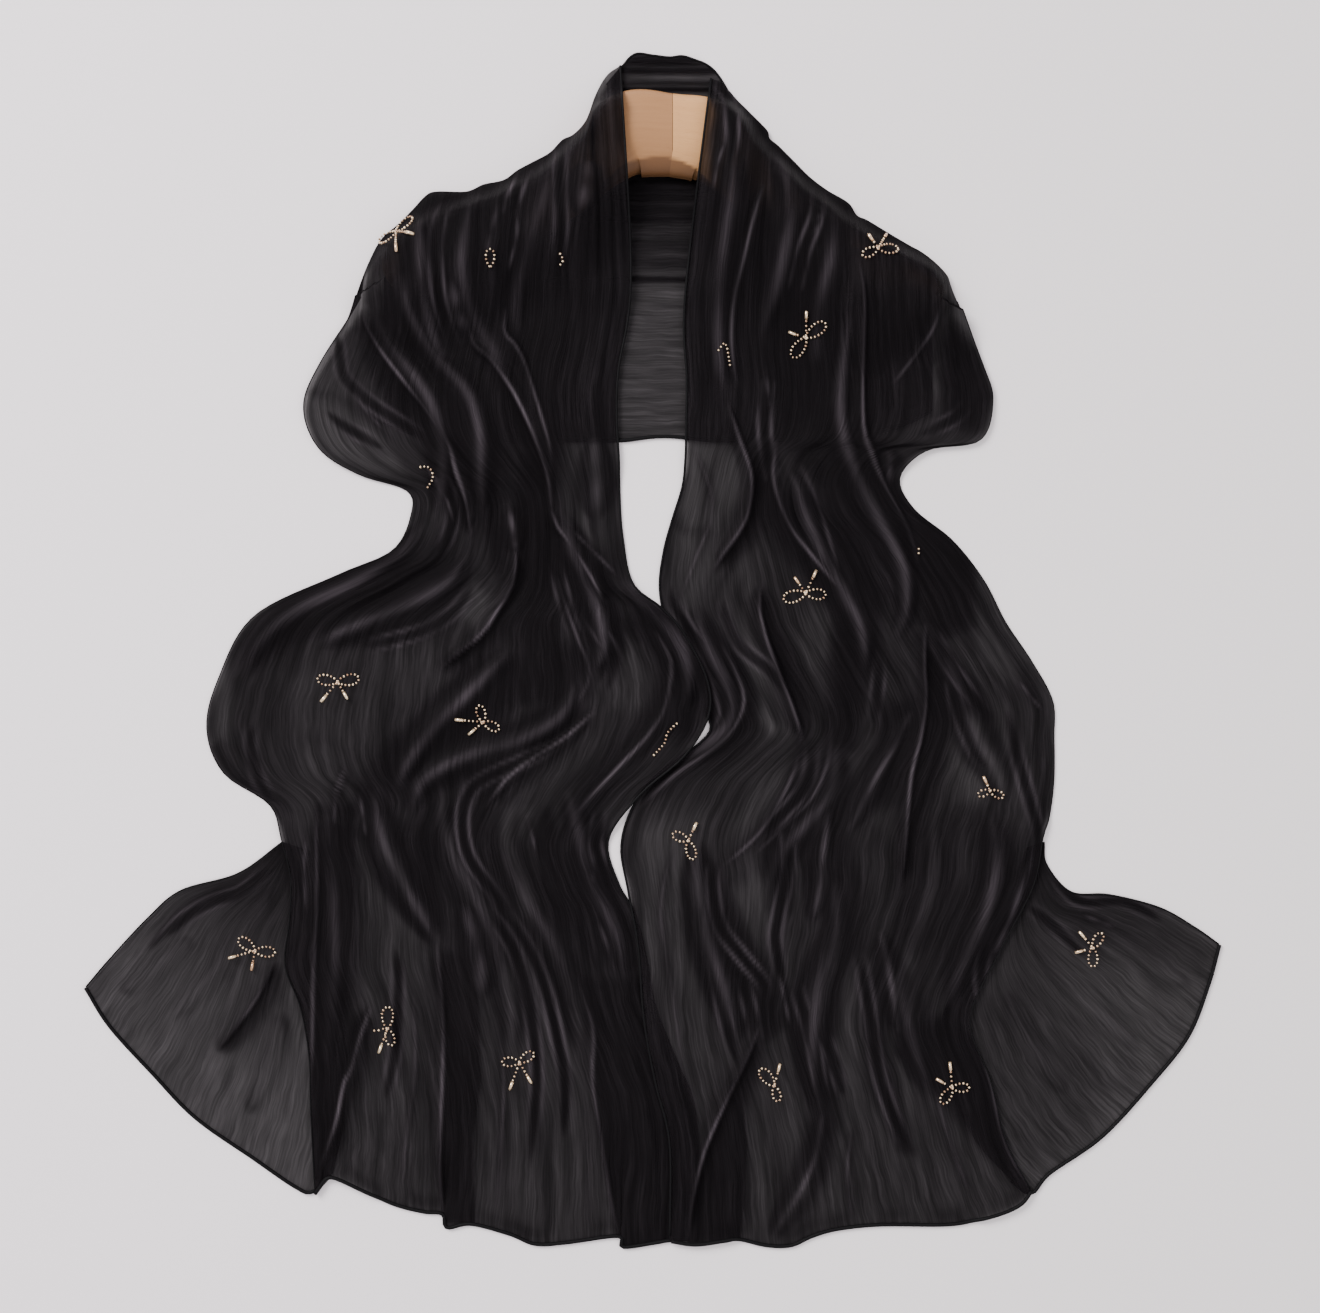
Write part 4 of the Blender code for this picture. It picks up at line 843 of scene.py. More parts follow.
def right_base(x, y):
    """The right front lies over the left one below LAP_Y, and under its bulge above that."""
    left_edge = edge_at(y, LEFT_ROWS, 2)
    corner_edge = edge_at(y, RIGHT_CORNER_ROWS, 2)
    lap = rising(-y, -LAP_Y, EDGE_MARGIN) * rising(left_edge - x, -2 * EDGE_MARGIN, SLOPE_RUN)
    over_corner = rising(-y, -CORNERS_TOP_Y - SLOPE_RUN, SLOPE_RUN)
    over_corner = over_corner * rising(x, corner_edge - EDGE_MARGIN - SLOPE_RUN, SLOPE_RUN)
    covered_span = rising(y, BULGE_LOW_Y, SLOPE_RUN) * rising(-y, -BULGE_HIGH_Y, SLOPE_RUN)
    covered = covered_span * rising(left_edge - x, -SLOPE_RUN, SLOPE_RUN)
    return over_back(x, y) + over_hanger(x, y) + PLY_STEP * (lap + over_corner), 1 - covered


def left_corner_base(x, y):
    """The left corner lies flat, its inner end under the left front."""
    return np.zeros(x.shape), rising(edge_at(y, LEFT_ROWS, 0) - x, CORNER_TUCK, SLOPE_RUN)


def right_corner_base(x, y):
    """The right corner lies flat, its inner end under the right front."""
    return np.zeros(x.shape), rising(x - edge_at(y, RIGHT_ROWS, 0), CORNER_TUCK, SLOPE_RUN)


def front_grid(rows, top, hem, columns, row_count, dense, top_depth, hem_depth):
    """Plan of a front: rows from outer edge to inner edge, bent to its shoulder and hem."""
    table = course(rows, ROW_SAMPLES)
    middle = np.column_stack([table[:, 0] + table[:, 2], table[:, 1] + table[:, 3]]) / 2
    reach = np.concatenate([[0], np.cumsum(np.linalg.norm(np.diff(middle, axis=0), axis=1))])
    u = np.linspace(0, 1, row_count)
    places = u * (1 - dense) + dense * u**2
    across = np.linspace(0, 1, columns)
    ends = np.column_stack([np.interp(places * reach[-1], reach, table[:, k]) for k in range(4)])
    outer = ends[:, None, :2]
    inner = ends[:, None, 2:]
    grid = outer + (inner - outer) * across[None, :, None]
    top_shift = course(np.reshape(top, (-1, 2)), across) - grid[0]
    hem_shift = course(hem, across) - grid[-1]
    down = (places * reach[-1])[:, None, None]
    grid = grid + top_shift * (1 - smooth_step(down / top_depth))
    return grid + hem_shift * (1 - smooth_step((reach[-1] - down) / hem_depth))


def strip_grid(columns, across, down):
    """Plan of a strip given column by column: x, lower y, upper y."""
    line = course([(column[0], column[2], column[1]) for column in columns], across)
    share = np.linspace(0, 1, down)[:, None]
    y = line[:, 1] + (line[:, 2] - line[:, 1]) * share
    return np.stack([np.broadcast_to(line[:, 0], y.shape), y], axis=-1)


def grid_steps(grid):
    """Lengths down and across a plan, from its first row and column."""
    down = np.cumsum(np.linalg.norm(np.diff(grid, axis=0, prepend=grid[:1]), axis=-1), axis=0)
    across = np.cumsum(np.linalg.norm(np.diff(grid, axis=1, prepend=grid[:, :1]), axis=-1), axis=1)
    return down, across


def edge_fade(grid):
    """0 on a plan's edges, 1 once PUFF_EDGE inside them."""
    down, across = grid_steps(grid)
    margin = np.minimum(np.minimum(across, across[:, -1:] - across), np.minimum(down, down[-1:] - down))
    return smooth_step(margin / PUFF_EDGE)


def wave(turns):
    """A sine wave, its argument in whole turns."""
    return np.sin(2 * np.pi * turns)


def gathers(share, down, draw):
    """Long uneven folds along a sheet, from 0 to 1: waves across it that sway as they run down it."""
    chance = np.random.default_rng(draw)
    total = np.zeros(share.shape)
    for _ in range(GATHER_WAVES):
        count = GATHER_FOLDS * chance.uniform(*GATHER_COUNTS)
        sway = chance.uniform(*GATHER_SWAYS)
        sway = sway * wave(down * chance.uniform(*GATHER_SWAY_TURNS) + chance.random())
        fade = wave(down * chance.uniform(*GATHER_FADE_TURNS) + chance.random())
        strength = 1 - GATHER_FADE + GATHER_FADE * fade
        total += strength * wave(count * share + sway + chance.random())
    return smooth_step(0.5 + total / GATHER_SPREAD)


def add_slant_shade(grid, rise, relief):
    """Cloth that lies at a slant shows more of its threads from above, so it hides more; this darkening also
    paints shade on the sides of folds.
    """
    points = np.dstack([grid, rise])
    normal = np.cross(np.gradient(points, axis=1), np.gradient(points, axis=0))
    upright = np.abs(normal[..., 2]) / np.linalg.norm(normal, axis=-1)
    slant = np.clip(SLANT_SHADE * (1 / upright - 1), 0, SLANT_LIMIT)
    relief.dark = layered(relief.dark, slant)


def in_scene(name, data):
    """An object made of this data, in the scene."""
    made = bpy.data.objects.new(name, data)
    bpy.context.scene.collection.objects.link(made)
    return made


def sheet_mesh(name, points, relief, flow_across, flow_down, material):
    """An open sheet from a grid of points, with its flow as UV and its relief's painted highlight, dark and
    light as a colour.
    """
    rows, columns = points.shape[:2]
    index = np.arange(rows * columns).reshape(rows, columns)
    corners = (index[:-1, :-1], index[:-1, 1:], index[1:, 1:], index[1:, :-1])
    faces = np.stack(corners, axis=-1).reshape(-1, 4)
    first = points[0, 0]
    facing = np.cross(points[0, 1] - first, points[1, 1] - first)[2]
    if facing < 0:
        faces = faces[:, ::-1]
    mesh = bpy.data.meshes.new(name)
    mesh.from_pydata((points.reshape(-1, 3) * MM).tolist(), [], faces.tolist())
    flow = mesh.uv_layers.new(name="flow")
    place = np.stack([flow_across, flow_down], axis=-1).reshape(-1, 2) / FLOW_UNIT
    flow.data.foreach_set("uv", place[faces.reshape(-1)].astype(np.float32).ravel())
    folds = mesh.color_attributes.new("folds", "FLOAT_COLOR", "POINT")
    values = np.stack([relief.shine, relief.dark, relief.light, np.ones(relief.dark.shape)], axis=-1)
    folds.data.foreach_set("color", values.reshape(-1, 4).astype(np.float32).ravel())
    mesh.shade_smooth()
    mesh.materials.append(material)
    return in_scene(name, mesh)


def tube(name, path, radius, sides, material):
    """A closed round cord along a path, flat enough to stay off the floor."""
    path = np.asarray(path, dtype=float)
    tangent = np.gradient(path, axis=0)
    tangent /= np.linalg.norm(tangent, axis=1)[:, None]
    side = np.cross(tangent, (0, 0, 1))
    side /= np.linalg.norm(side, axis=1)[:, None]
    up = np.cross(side, tangent)
    angle = np.linspace(0, 2 * np.pi, sides, endpoint=False)
    ring = side[:, None] * np.cos(angle)[:, None] + up[:, None] * np.sin(angle)[:, None]
    points = (path[:, None] + ring * radius).reshape(-1, 3)
    points[:, 2] = np.maximum(points[:, 2], CORD_ABOVE_FLOOR)
    faces = []
    for i in range(len(path) - 1):
        for k in range(sides):
            after = (k + 1) % sides
            faces.append((i * sides + k, (i + 1) * sides + k, (i + 1) * sides + after, i * sides + after))
    faces.append(tuple(range(sides)))
    faces.append(tuple(len(points) - 1 - k for k in range(sides)))
    mesh = bpy.data.meshes.new(name)
    mesh.from_pydata((points * MM).tolist(), [], faces)
    mesh.shade_smooth()
    mesh.materials.append(material)
    return in_scene(name, mesh)


# Shader groups

def group(name, inputs, outputs):
    """A node group with its own sockets, ready to be filled."""
    tree = bpy.data.node_groups.new(name, "ShaderNodeTree")
    for socket, kind, value in inputs:
        made = tree.interface.new_socket(socket, in_out="INPUT", socket_type=kind)
        if value is not None:
            made.default_value = value
    for socket, kind in outputs:
        tree.interface.new_socket(socket, in_out="OUTPUT", socket_type=kind)
    return tree, tree.nodes.new("NodeGroupInput"), tree.nodes.new("NodeGroupOutput")


def maths(tree, operation, a, b=None, c=None, clamp=False):
    """One Math node, its inputs numbers or sockets."""
    node = tree.nodes.new("ShaderNodeMath")
    node.operation = operation
    node.use_clamp = clamp
    for socket, value in zip(node.inputs, (a, b, c)):
        if value is None:
            continue
        if isinstance(value, bpy.types.NodeSocket):
            tree.links.new(value, socket)
        else:
            socket.default_value = value
    return node.outputs[0]


def scaled(tree, vector, scale):
    """A vector multiplied by another."""
    node = tree.nodes.new("ShaderNodeVectorMath")
    node.operation = "MULTIPLY"
    tree.links.new(vector, node.inputs[0])
    node.inputs[1].default_value = scale
    return node.outputs[0]


def noise(tree, vector, detail, roughness, distortion=0.0):
    """A noise texture's value at a vector."""
    node = tree.nodes.new("ShaderNodeTexNoise")
    tree.links.new(vector, node.inputs["Vector"])
    node.inputs["Scale"].default_value = 1.0
    node.inputs["Detail"].default_value = detail
    node.inputs["Roughness"].default_value = roughness
    node.inputs["Distortion"].default_value = distortion
    return node.outputs["Fac"]


def mixed(tree, factor, first, second):
    """Two colours mixed."""
    node = tree.nodes.new("ShaderNodeMix")
    node.data_type = "RGBA"
    tree.links.new(factor, node.inputs["Factor"])
    for socket, value in ((node.inputs["A"], first), (node.inputs["B"], second)):
        if isinstance(value, bpy.types.NodeSocket):
            tree.links.new(value, socket)
        else:
            socket.default_value = (*value, 1.0)
    return node.outputs["Result"]


def crinkle_group():
    """Fine crinkles that run along a flow: x across it and y along it, a unit for each 100 mm."""
    tree, given, out = group(
        "crinkle",
        (("Flow", "NodeSocketVector", None),),
        (("Fine", "NodeSocketFloat"), ("Broad", "NodeSocketFloat"), ("Height", "NodeSocketFloat")))
    sway = noise(tree, scaled(tree, given.outputs["Flow"], SWAY_SCALE), detail=2.0, roughness=0.5)
    sway = maths(tree, "MULTIPLY", maths(tree, "SUBTRACT", sway, 0.5), SWAY_WIDTH)
    shift = tree.nodes.new("ShaderNodeCombineXYZ")
    tree.links.new(sway, shift.inputs["X"])
    moved = tree.nodes.new("ShaderNodeVectorMath")
    moved.operation = "ADD"
    tree.links.new(given.outputs["Flow"], moved.inputs[0])
    tree.links.new(shift.outputs[0], moved.inputs[1])
    flow = moved.outputs[0]
    fine = noise(tree, scaled(tree, flow, FINE_SCALE), detail=3.0, roughness=0.6)
    broad = noise(tree, scaled(tree, flow, BROAD_SCALE), detail=2.0, roughness=0.5)
    fine = maths(tree, "MULTIPLY_ADD", fine, *FINE_CONTRAST, clamp=True)
    broad = maths(tree, "MULTIPLY_ADD", broad, *BROAD_CONTRAST, clamp=True)
    height = maths(tree, "MULTIPLY_ADD", fine, FINE_HEIGHT, maths(tree, "MULTIPLY", broad, BROAD_HEIGHT))
    tree.links.new(fine, out.inputs["Fine"])
    tree.links.new(broad, out.inputs["Broad"])
    tree.links.new(height, out.inputs["Height"])
    return tree


def sheer_group(crinkle):
    """Sheer black cloth: how much it hides, and its colour, from its crinkles and folds, with a painted
    highlight along fold crests and a painted sheen along the crinkles.
    """
    tree, given, out = group(
        "sheer",
        (("Flow", "NodeSocketVector", None), ("Folds", "NodeSocketColor", None),
         ("Plies", "NodeSocketFloat", 1.55), ("Shine", "NodeSocketFloat", 0.1),
         ("Unevenness", "NodeSocketFloat", 0.3)),
        (("Color", "NodeSocketColor"), ("Alpha", "NodeSocketFloat"), ("Height", "NodeSocketFloat")))
    streaks = tree.nodes.new("ShaderNodeGroup")
    streaks.node_tree = crinkle
    tree.links.new(given.outputs["Flow"], streaks.inputs["Flow"])
    fine = streaks.outputs["Fine"]
    broad = streaks.outputs["Broad"]
    parts = tree.nodes.new("ShaderNodeSeparateColor")
    tree.links.new(given.outputs["Folds"], parts.inputs[0])
    shine, dark, light = parts.outputs[0], parts.outputs[1], parts.outputs[2]

    thin = maths(tree, "SUBTRACT", 0.5, fine)
    gathered = maths(tree, "MULTIPLY_ADD", thin, CRINKLE_PLIES, given.outputs["Plies"])
    loose = maths(tree, "SUBTRACT", 0.5, broad)
    gathered = maths(tree, "MULTIPLY_ADD", loose, given.outputs["Unevenness"], gathered)
    gathered = maths(tree, "MULTIPLY_ADD", dark, DARK_PLIES, gathered)
    gathered = maths(tree, "MULTIPLY_ADD", light, LIGHT_PLIES, gathered)
    gathered = maths(tree, "MAXIMUM", gathered, FEWEST_PLIES)
    alpha = maths(tree, "SUBTRACT", 1.0, maths(tree, "POWER", PLY_PASS, gathered))

    # Painted highlight along the folds' crests
    glint = maths(tree, "MULTIPLY_ADD", fine, SHINE_FINE, SHINE_EVEN)
    glint = maths(tree, "MULTIPLY", glint, shine)
    glint = maths(tree, "MULTIPLY", glint, given.outputs["Shine"])
    # Painted sheen along the crinkles, dulled in dark places
    soft = maths(tree, "MULTIPLY", maths(tree, "MULTIPLY", fine, broad), PAINTED_SHEEN)
    soft = maths(tree, "MULTIPLY", soft, maths(tree, "MULTIPLY_ADD", dark, -DARK_DULLS, 1.0))
    level = maths(tree, "ADD", maths(tree, "ADD", glint, soft), THREAD_BLACK)
    tint = tree.nodes.new("ShaderNodeCombineColor")
    for channel, share in enumerate(CLOTH_TINT):
        tree.links.new(maths(tree, "MULTIPLY", level, share), tint.inputs[channel])
    tree.links.new(tint.outputs[0], out.inputs["Color"])
    tree.links.new(alpha, out.inputs["Alpha"])
    tree.links.new(streaks.outputs["Height"], out.inputs["Height"])
    return tree


def new_material(name, roughness):
    """A material with its Principled shader, and that shader."""
    material = bpy.data.materials.new(name)
    material.use_nodes = True
    shader = material.node_tree.nodes["Principled BSDF"]
    shader.inputs["Roughness"].default_value = roughness
    return material, shader


def bump(tree, height, distance, strength):
    """A bump from a height, its distance in metres."""
    node = tree.nodes.new("ShaderNodeBump")
    node.inputs["Distance"].default_value = distance
    node.inputs["Strength"].default_value = strength
    tree.links.new(height, node.inputs["Height"])
    return node.outputs[0]


def sheer_material(name, sheer, plies, shine, unevenness):
    """Sheer cloth of some number of plies, crinkled along its flow, with painted highlights as strong as
    shine.
    """
    material, shader = new_material(name, 0.42)
    tree = material.node_tree
    flow = tree.nodes.new("ShaderNodeUVMap")
    flow.uv_map = "flow"
    folds = tree.nodes.new("ShaderNodeVertexColor")
    folds.layer_name = "folds"
    looks = tree.nodes.new("ShaderNodeGroup")
    looks.node_tree = sheer
    looks.inputs["Plies"].default_value = plies
    looks.inputs["Shine"].default_value = shine
    looks.inputs["Unevenness"].default_value = unevenness
    tree.links.new(flow.outputs[0], looks.inputs["Flow"])
    tree.links.new(folds.outputs["Color"], looks.inputs["Folds"])
    tree.links.new(looks.outputs["Color"], shader.inputs["Base Color"])
    tree.links.new(looks.outputs["Alpha"], shader.inputs["Alpha"])
    crinkled = bump(tree, looks.outputs["Height"], distance=0.0012, strength=0.7)
    tree.links.new(crinkled, shader.inputs["Normal"])
    shader.inputs["Specular IOR Level"].default_value = 0.01
    return material


def hem_material():
    """The rolled hem, several plies thick and nearly black."""
    material, shader = new_material("hem_cloth", 0.5)
    tree = material.node_tree
    place = tree.nodes.new("ShaderNodeTexCoord")
    weave = noise(tree, scaled(tree, place.outputs["Object"], WEAVE_SCALE), detail=2.0, roughness=0.6)
    tree.links.new(mixed(tree, weave, *HEM_TONES), shader.inputs["Base Color"])
    tree.links.new(bump(tree, weave, distance=0.0004, strength=0.5), shader.inputs["Normal"])
    shader.inputs["Specular IOR Level"].default_value = 0.05
    return material


def wood_material():
    """Pale lacquered wood, its grain along the arm, with painted shade below the neck's arch and underneath.
    """
    material, shader = new_material("wood", 0.38)
    tree = material.node_tree
    place = tree.nodes.new("ShaderNodeUVMap")
    place.uv_map = "grain"
    side = tree.nodes.new("ShaderNodeVertexColor")
    side.layer_name = "side"
    parts = tree.nodes.new("ShaderNodeSeparateColor")
    tree.links.new(side.outputs["Color"], parts.inputs[0])
    along_grain = scaled(tree, place.outputs[0], RING_SCALE)
    rings = noise(tree, along_grain, detail=3.0, roughness=0.55, distortion=0.6)
    pores = noise(tree, scaled(tree, place.outputs[0], PORE_SCALE), detail=2.0, roughness=0.6)
    left = mixed(tree, rings, *LEFT_WOOD_TONES)
    right = mixed(tree, rings, *RIGHT_WOOD_TONES)
    plain = mixed(tree, parts.outputs[1], left, right)
    open_pores = maths(tree, "MULTIPLY_ADD", pores, *PORE_CONTRAST, clamp=True)
    pored = mixed(tree, open_pores, plain, WOOD_PORE)
    # Painted shade below the neck's arch and underneath
    shaded_face = mixed(tree, parts.outputs[0], pored, WOOD_FACE_SHADE)
    tree.links.new(shaded_face, shader.inputs["Base Color"])
    tree.links.new(bump(tree, pores, distance=0.0003, strength=0.25), shader.inputs["Normal"])
    shader.inputs["Specular IOR Level"].default_value = 0.2
    shader.inputs["Coat Weight"].default_value = 0.05
    shader.inputs["Coat Roughness"].default_value = 0.25
    return material


def bead_material(name, tones, metal, roughness):
    """Glass beads, each with its own tone."""
    material, shader = new_material(name, roughness)
    tree = material.node_tree
    tone = tree.nodes.new("ShaderNodeAttribute")
    tone.attribute_name = "tone"
    tree.links.new(mixed(tree, tone.outputs["Fac"], *tones), shader.inputs["Base Color"])
    shader.inputs["Metallic"].default_value = metal
    shader.inputs["Coat Weight"].default_value = 0.5
    shader.inputs["Coat Roughness"].default_value = 0.08
    return material


def floor_material():
    """A pale surface, brighter and a little pinker on the left: painted light falling from the left."""
    material, shader = new_material("pale_surface", 0.85)
    tree = material.node_tree
    place = tree.nodes.new("ShaderNodeTexCoord")
    parts = tree.nodes.new("ShaderNodeSeparateXYZ")
    tree.links.new(place.outputs["Object"], parts.inputs[0])
    # Painted light: brighter towards the left
    across = maths(tree, "MULTIPLY_ADD", parts.outputs[0], *SURFACE_LIGHT_FALL, clamp=True)
    tone = mixed(tree, across, *SURFACE_PAINTED_LIGHT_TONES)
    speckle = noise(tree, scaled(tree, place.outputs["Object"], SPECK_SCALE), detail=2.0, roughness=0.5)
    shade = maths(tree, "MULTIPLY", speckle, SPECK_STRENGTH)
    tree.links.new(mixed(tree, shade, tone, SURFACE_SPECK), shader.inputs["Base Color"])
    shader.inputs["Specular IOR Level"].default_value = 0.1
    return material


sheer = sheer_group(crinkle_group())
# shine: strength of each cloth's painted highlight along fold crests
front_cloth = sheer_material("sheer_cloth", sheer, plies=1.78, shine=0.10, unevenness=0.35)
fan_cloth = sheer_material("sheer_corner_cloth", sheer, plies=1.16, shine=0.08, unevenness=0.12)
back_cloth = sheer_material("sheer_back_cloth", sheer, plies=1.54, shine=0.05, unevenness=0.08)
hem_cloth = hem_material()
wood = wood_material()
seed_glass = bead_material("seed_bead", SEED_TONES, metal=0.6, roughness=0.2)
bugle_glass = bead_material("bugle_bead", BUGLE_TONES, metal=0.8, roughness=0.18)


# The cloth's sheets

def lay_front(name, rows, shoulder, hem, base, folds, bands, facets, flow_start, draw):
    """One front, with its folds; draw seeds its gathers."""
    grid = front_grid(rows, shoulder, hem, columns=240, row_count=320, dense=0.2, top_depth=90, hem_depth=60)
    x, y = grid[..., 0], grid[..., 1]
    relief = Relief(x, y, folds, bands, facets)
    relief.light = np.maximum(relief.light, LOWER_LIGHT * rising(-y, LOWER_LIGHT_START, LOWER_LIGHT_RUN))
    low, free = base(x, y)
    down, _ = grid_steps(grid)
    share = np.broadcast_to(np.linspace(0, 1, grid.shape[1]), x.shape)
    between_folds = 1 - FLAT_BY_FOLDS * np.clip(relief.rise / FLAT_AT_RISE, 0, 1)
    gathered = GATHER_RISE * gathers(share, down, draw) * between_folds
    rise = (relief.rise + gathered + FRONT_PUFF) * edge_fade(grid) * free
    points = np.dstack([grid, low + SHEET_LIFT + rise])
    add_slant_shade(grid, rise, relief)
    flow_down = down.mean(axis=1)[:, None] + np.zeros(x.shape)
    sheet = sheet_mesh(name, points, relief, share * FRONT_FLOW + flow_start, flow_down, front_cloth)
    return sheet, points


def lay_corner(name, rows, hem, base, folds, facets, flow_start):
    """A fanned corner, pinched at its first row. Its flow's start seeds its gathers too."""
    grid = front_grid(rows, rows[0], hem, columns=150, row_count=180, dense=0.0, top_depth=30, hem_depth=130)
    x, y = grid[..., 0], grid[..., 1]
    relief = Relief(x, y, folds, facets=facets)
    low, free = base(x, y)
    down, _ = grid_steps(grid)
    share = np.broadcast_to(np.linspace(0, 1, grid.shape[1]), x.shape)
    gathered = CORNER_GATHER_RISE * gathers(share, down, flow_start) * np.exp(-down / CORNER_GATHER_RUN)
    rise = (relief.rise + gathered + CORNER_PUFF) * edge_fade(grid) * free
    pinch = PINCH_DARK * np.exp(-down / PINCH_RUN)
    relief.dark = layered(relief.dark, pinch)
    points = np.dstack([grid, low + SHEET_LIFT + rise])
    add_slant_shade(grid, rise, relief)
    sheet = sheet_mesh(name, points, relief, share * CORNER_FLOW + flow_start, down, fan_cloth)
    return sheet, points


def lay_strip(name, columns, bands, across, down, left_x, right_x):
    """A strip across the neck with bands along it, flat under the wood."""
    grid = strip_grid(columns, across, down)
    x, y = grid[..., 0], grid[..., 1]
    relief = Relief(x, y, ())
    shown = rising(x, left_x, SLOPE_RUN) * rising(-x, -right_x, SLOPE_RUN)
    outside, _, _ = wood_reach(x, y)
    shown = shown * rising(outside, WOOD_MARGIN, WOOD_MARGIN_RUN)
    for at, half, rise, dark in bands:
        shape = np.exp(-BAND_SHARPNESS * ((y - at) / half) ** 2)
        relief.rise = np.maximum(relief.rise, rise * shape * shown)
        relief.dark = layered(relief.dark, dark * shape)
    relief.light = np.full(x.shape, STRIP_LIGHT)
    points = np.dstack([grid, SHEET_LIFT + relief.rise])
    sheet = sheet_mesh(name, points, relief, y, x, back_cloth)
    return sheet, points


def hem_cord(name, line, radius):
    """A rolled hem along an edge of a sheet, from every other of its points."""
    path = line[::2].copy()
    path[:, 2] = np.maximum(path[:, 2] + HEM_ABOVE_SHEET, HEM_REST * radius)
    return tube(name, path, radius, HEM_SIDES, hem_cloth)


left_front, left_points = lay_front(
    "left_front_cloth", LEFT_ROWS, LEFT_SHOULDER, LEFT_HEM, left_base,
    LEFT_FOLDS, LEFT_BANDS, LEFT_FACETS, flow_start=0, draw=5)
right_front, right_points = lay_front(
    "right_front_cloth", RIGHT_ROWS, RIGHT_SHOULDER, RIGHT_HEM, right_base,
    RIGHT_FOLDS, RIGHT_BANDS, RIGHT_FACETS, flow_start=700, draw=8)
left_corner, left_corner_points = lay_corner(
    "left_corner_cloth", LEFT_CORNER_ROWS, LEFT_CORNER_HEM, left_corner_base, LEFT_CORNER_FOLDS,
    facets=(), flow_start=1400)
right_corner, right_corner_points = lay_corner(
    "right_corner_cloth", RIGHT_CORNER_ROWS, RIGHT_CORNER_HEM, right_corner_base, RIGHT_CORNER_FOLDS,
    RIGHT_CORNER_FACETS, flow_start=2100)
back_stretch, back_points = lay_strip(
    "back_cloth", BACK_COLUMNS, BACK_BANDS, across=200, down=150, left_x=-48, right_x=56)
neck_stand, stand_points = lay_strip(
    "neck_cloth", STAND_COLUMNS, STAND_BANDS, across=110, down=50, left_x=-24, right_x=44)

left_hems = [
    hem_cord("left_front_hem", left_points[-1], HEM_RADIUS),
    hem_cord("left_front_side_hem", left_points[:, -1], SIDE_HEM_RADIUS),
    hem_cord("left_front_outer_edge", left_points[:, 0], OUTER_EDGE_RADIUS),
]
right_hems = [
    hem_cord("right_front_hem", right_points[-1], HEM_RADIUS),
    hem_cord("right_front_side_hem", right_points[:, -1], SIDE_HEM_RADIUS),
    hem_cord("right_front_outer_edge", right_points[:, 0], OUTER_EDGE_RADIUS),
]
left_corner_hems = [
    hem_cord("left_corner_hem", left_corner_points[-1], HEM_RADIUS),
    hem_cord("left_corner_side_hem", left_corner_points[:, 0], CORNER_SIDE_RADIUS),
]
right_corner_hems = [
    hem_cord("right_corner_hem", right_corner_points[-1], HEM_RADIUS),
    hem_cord("right_corner_side_hem", right_corner_points[:, 0], CORNER_SIDE_RADIUS),
]
back_hems = [hem_cord("back_hem", back_points[-1], HEM_RADIUS)]
stand_hems = [hem_cord("neck_hem", stand_points[0], SIDE_HEM_RADIUS)]


# The hanger

# Where the upper face ends by the neck and the painted shade below it begins: x, y
NECK_ARCH = (
    (-60, 292), (-34, 326), (-20, 338), (-10, 341), (0, 342.5), (10, 342.5), (20, 340), (30, 335),
    (36, 330), (60, 308), (90, 280),
)


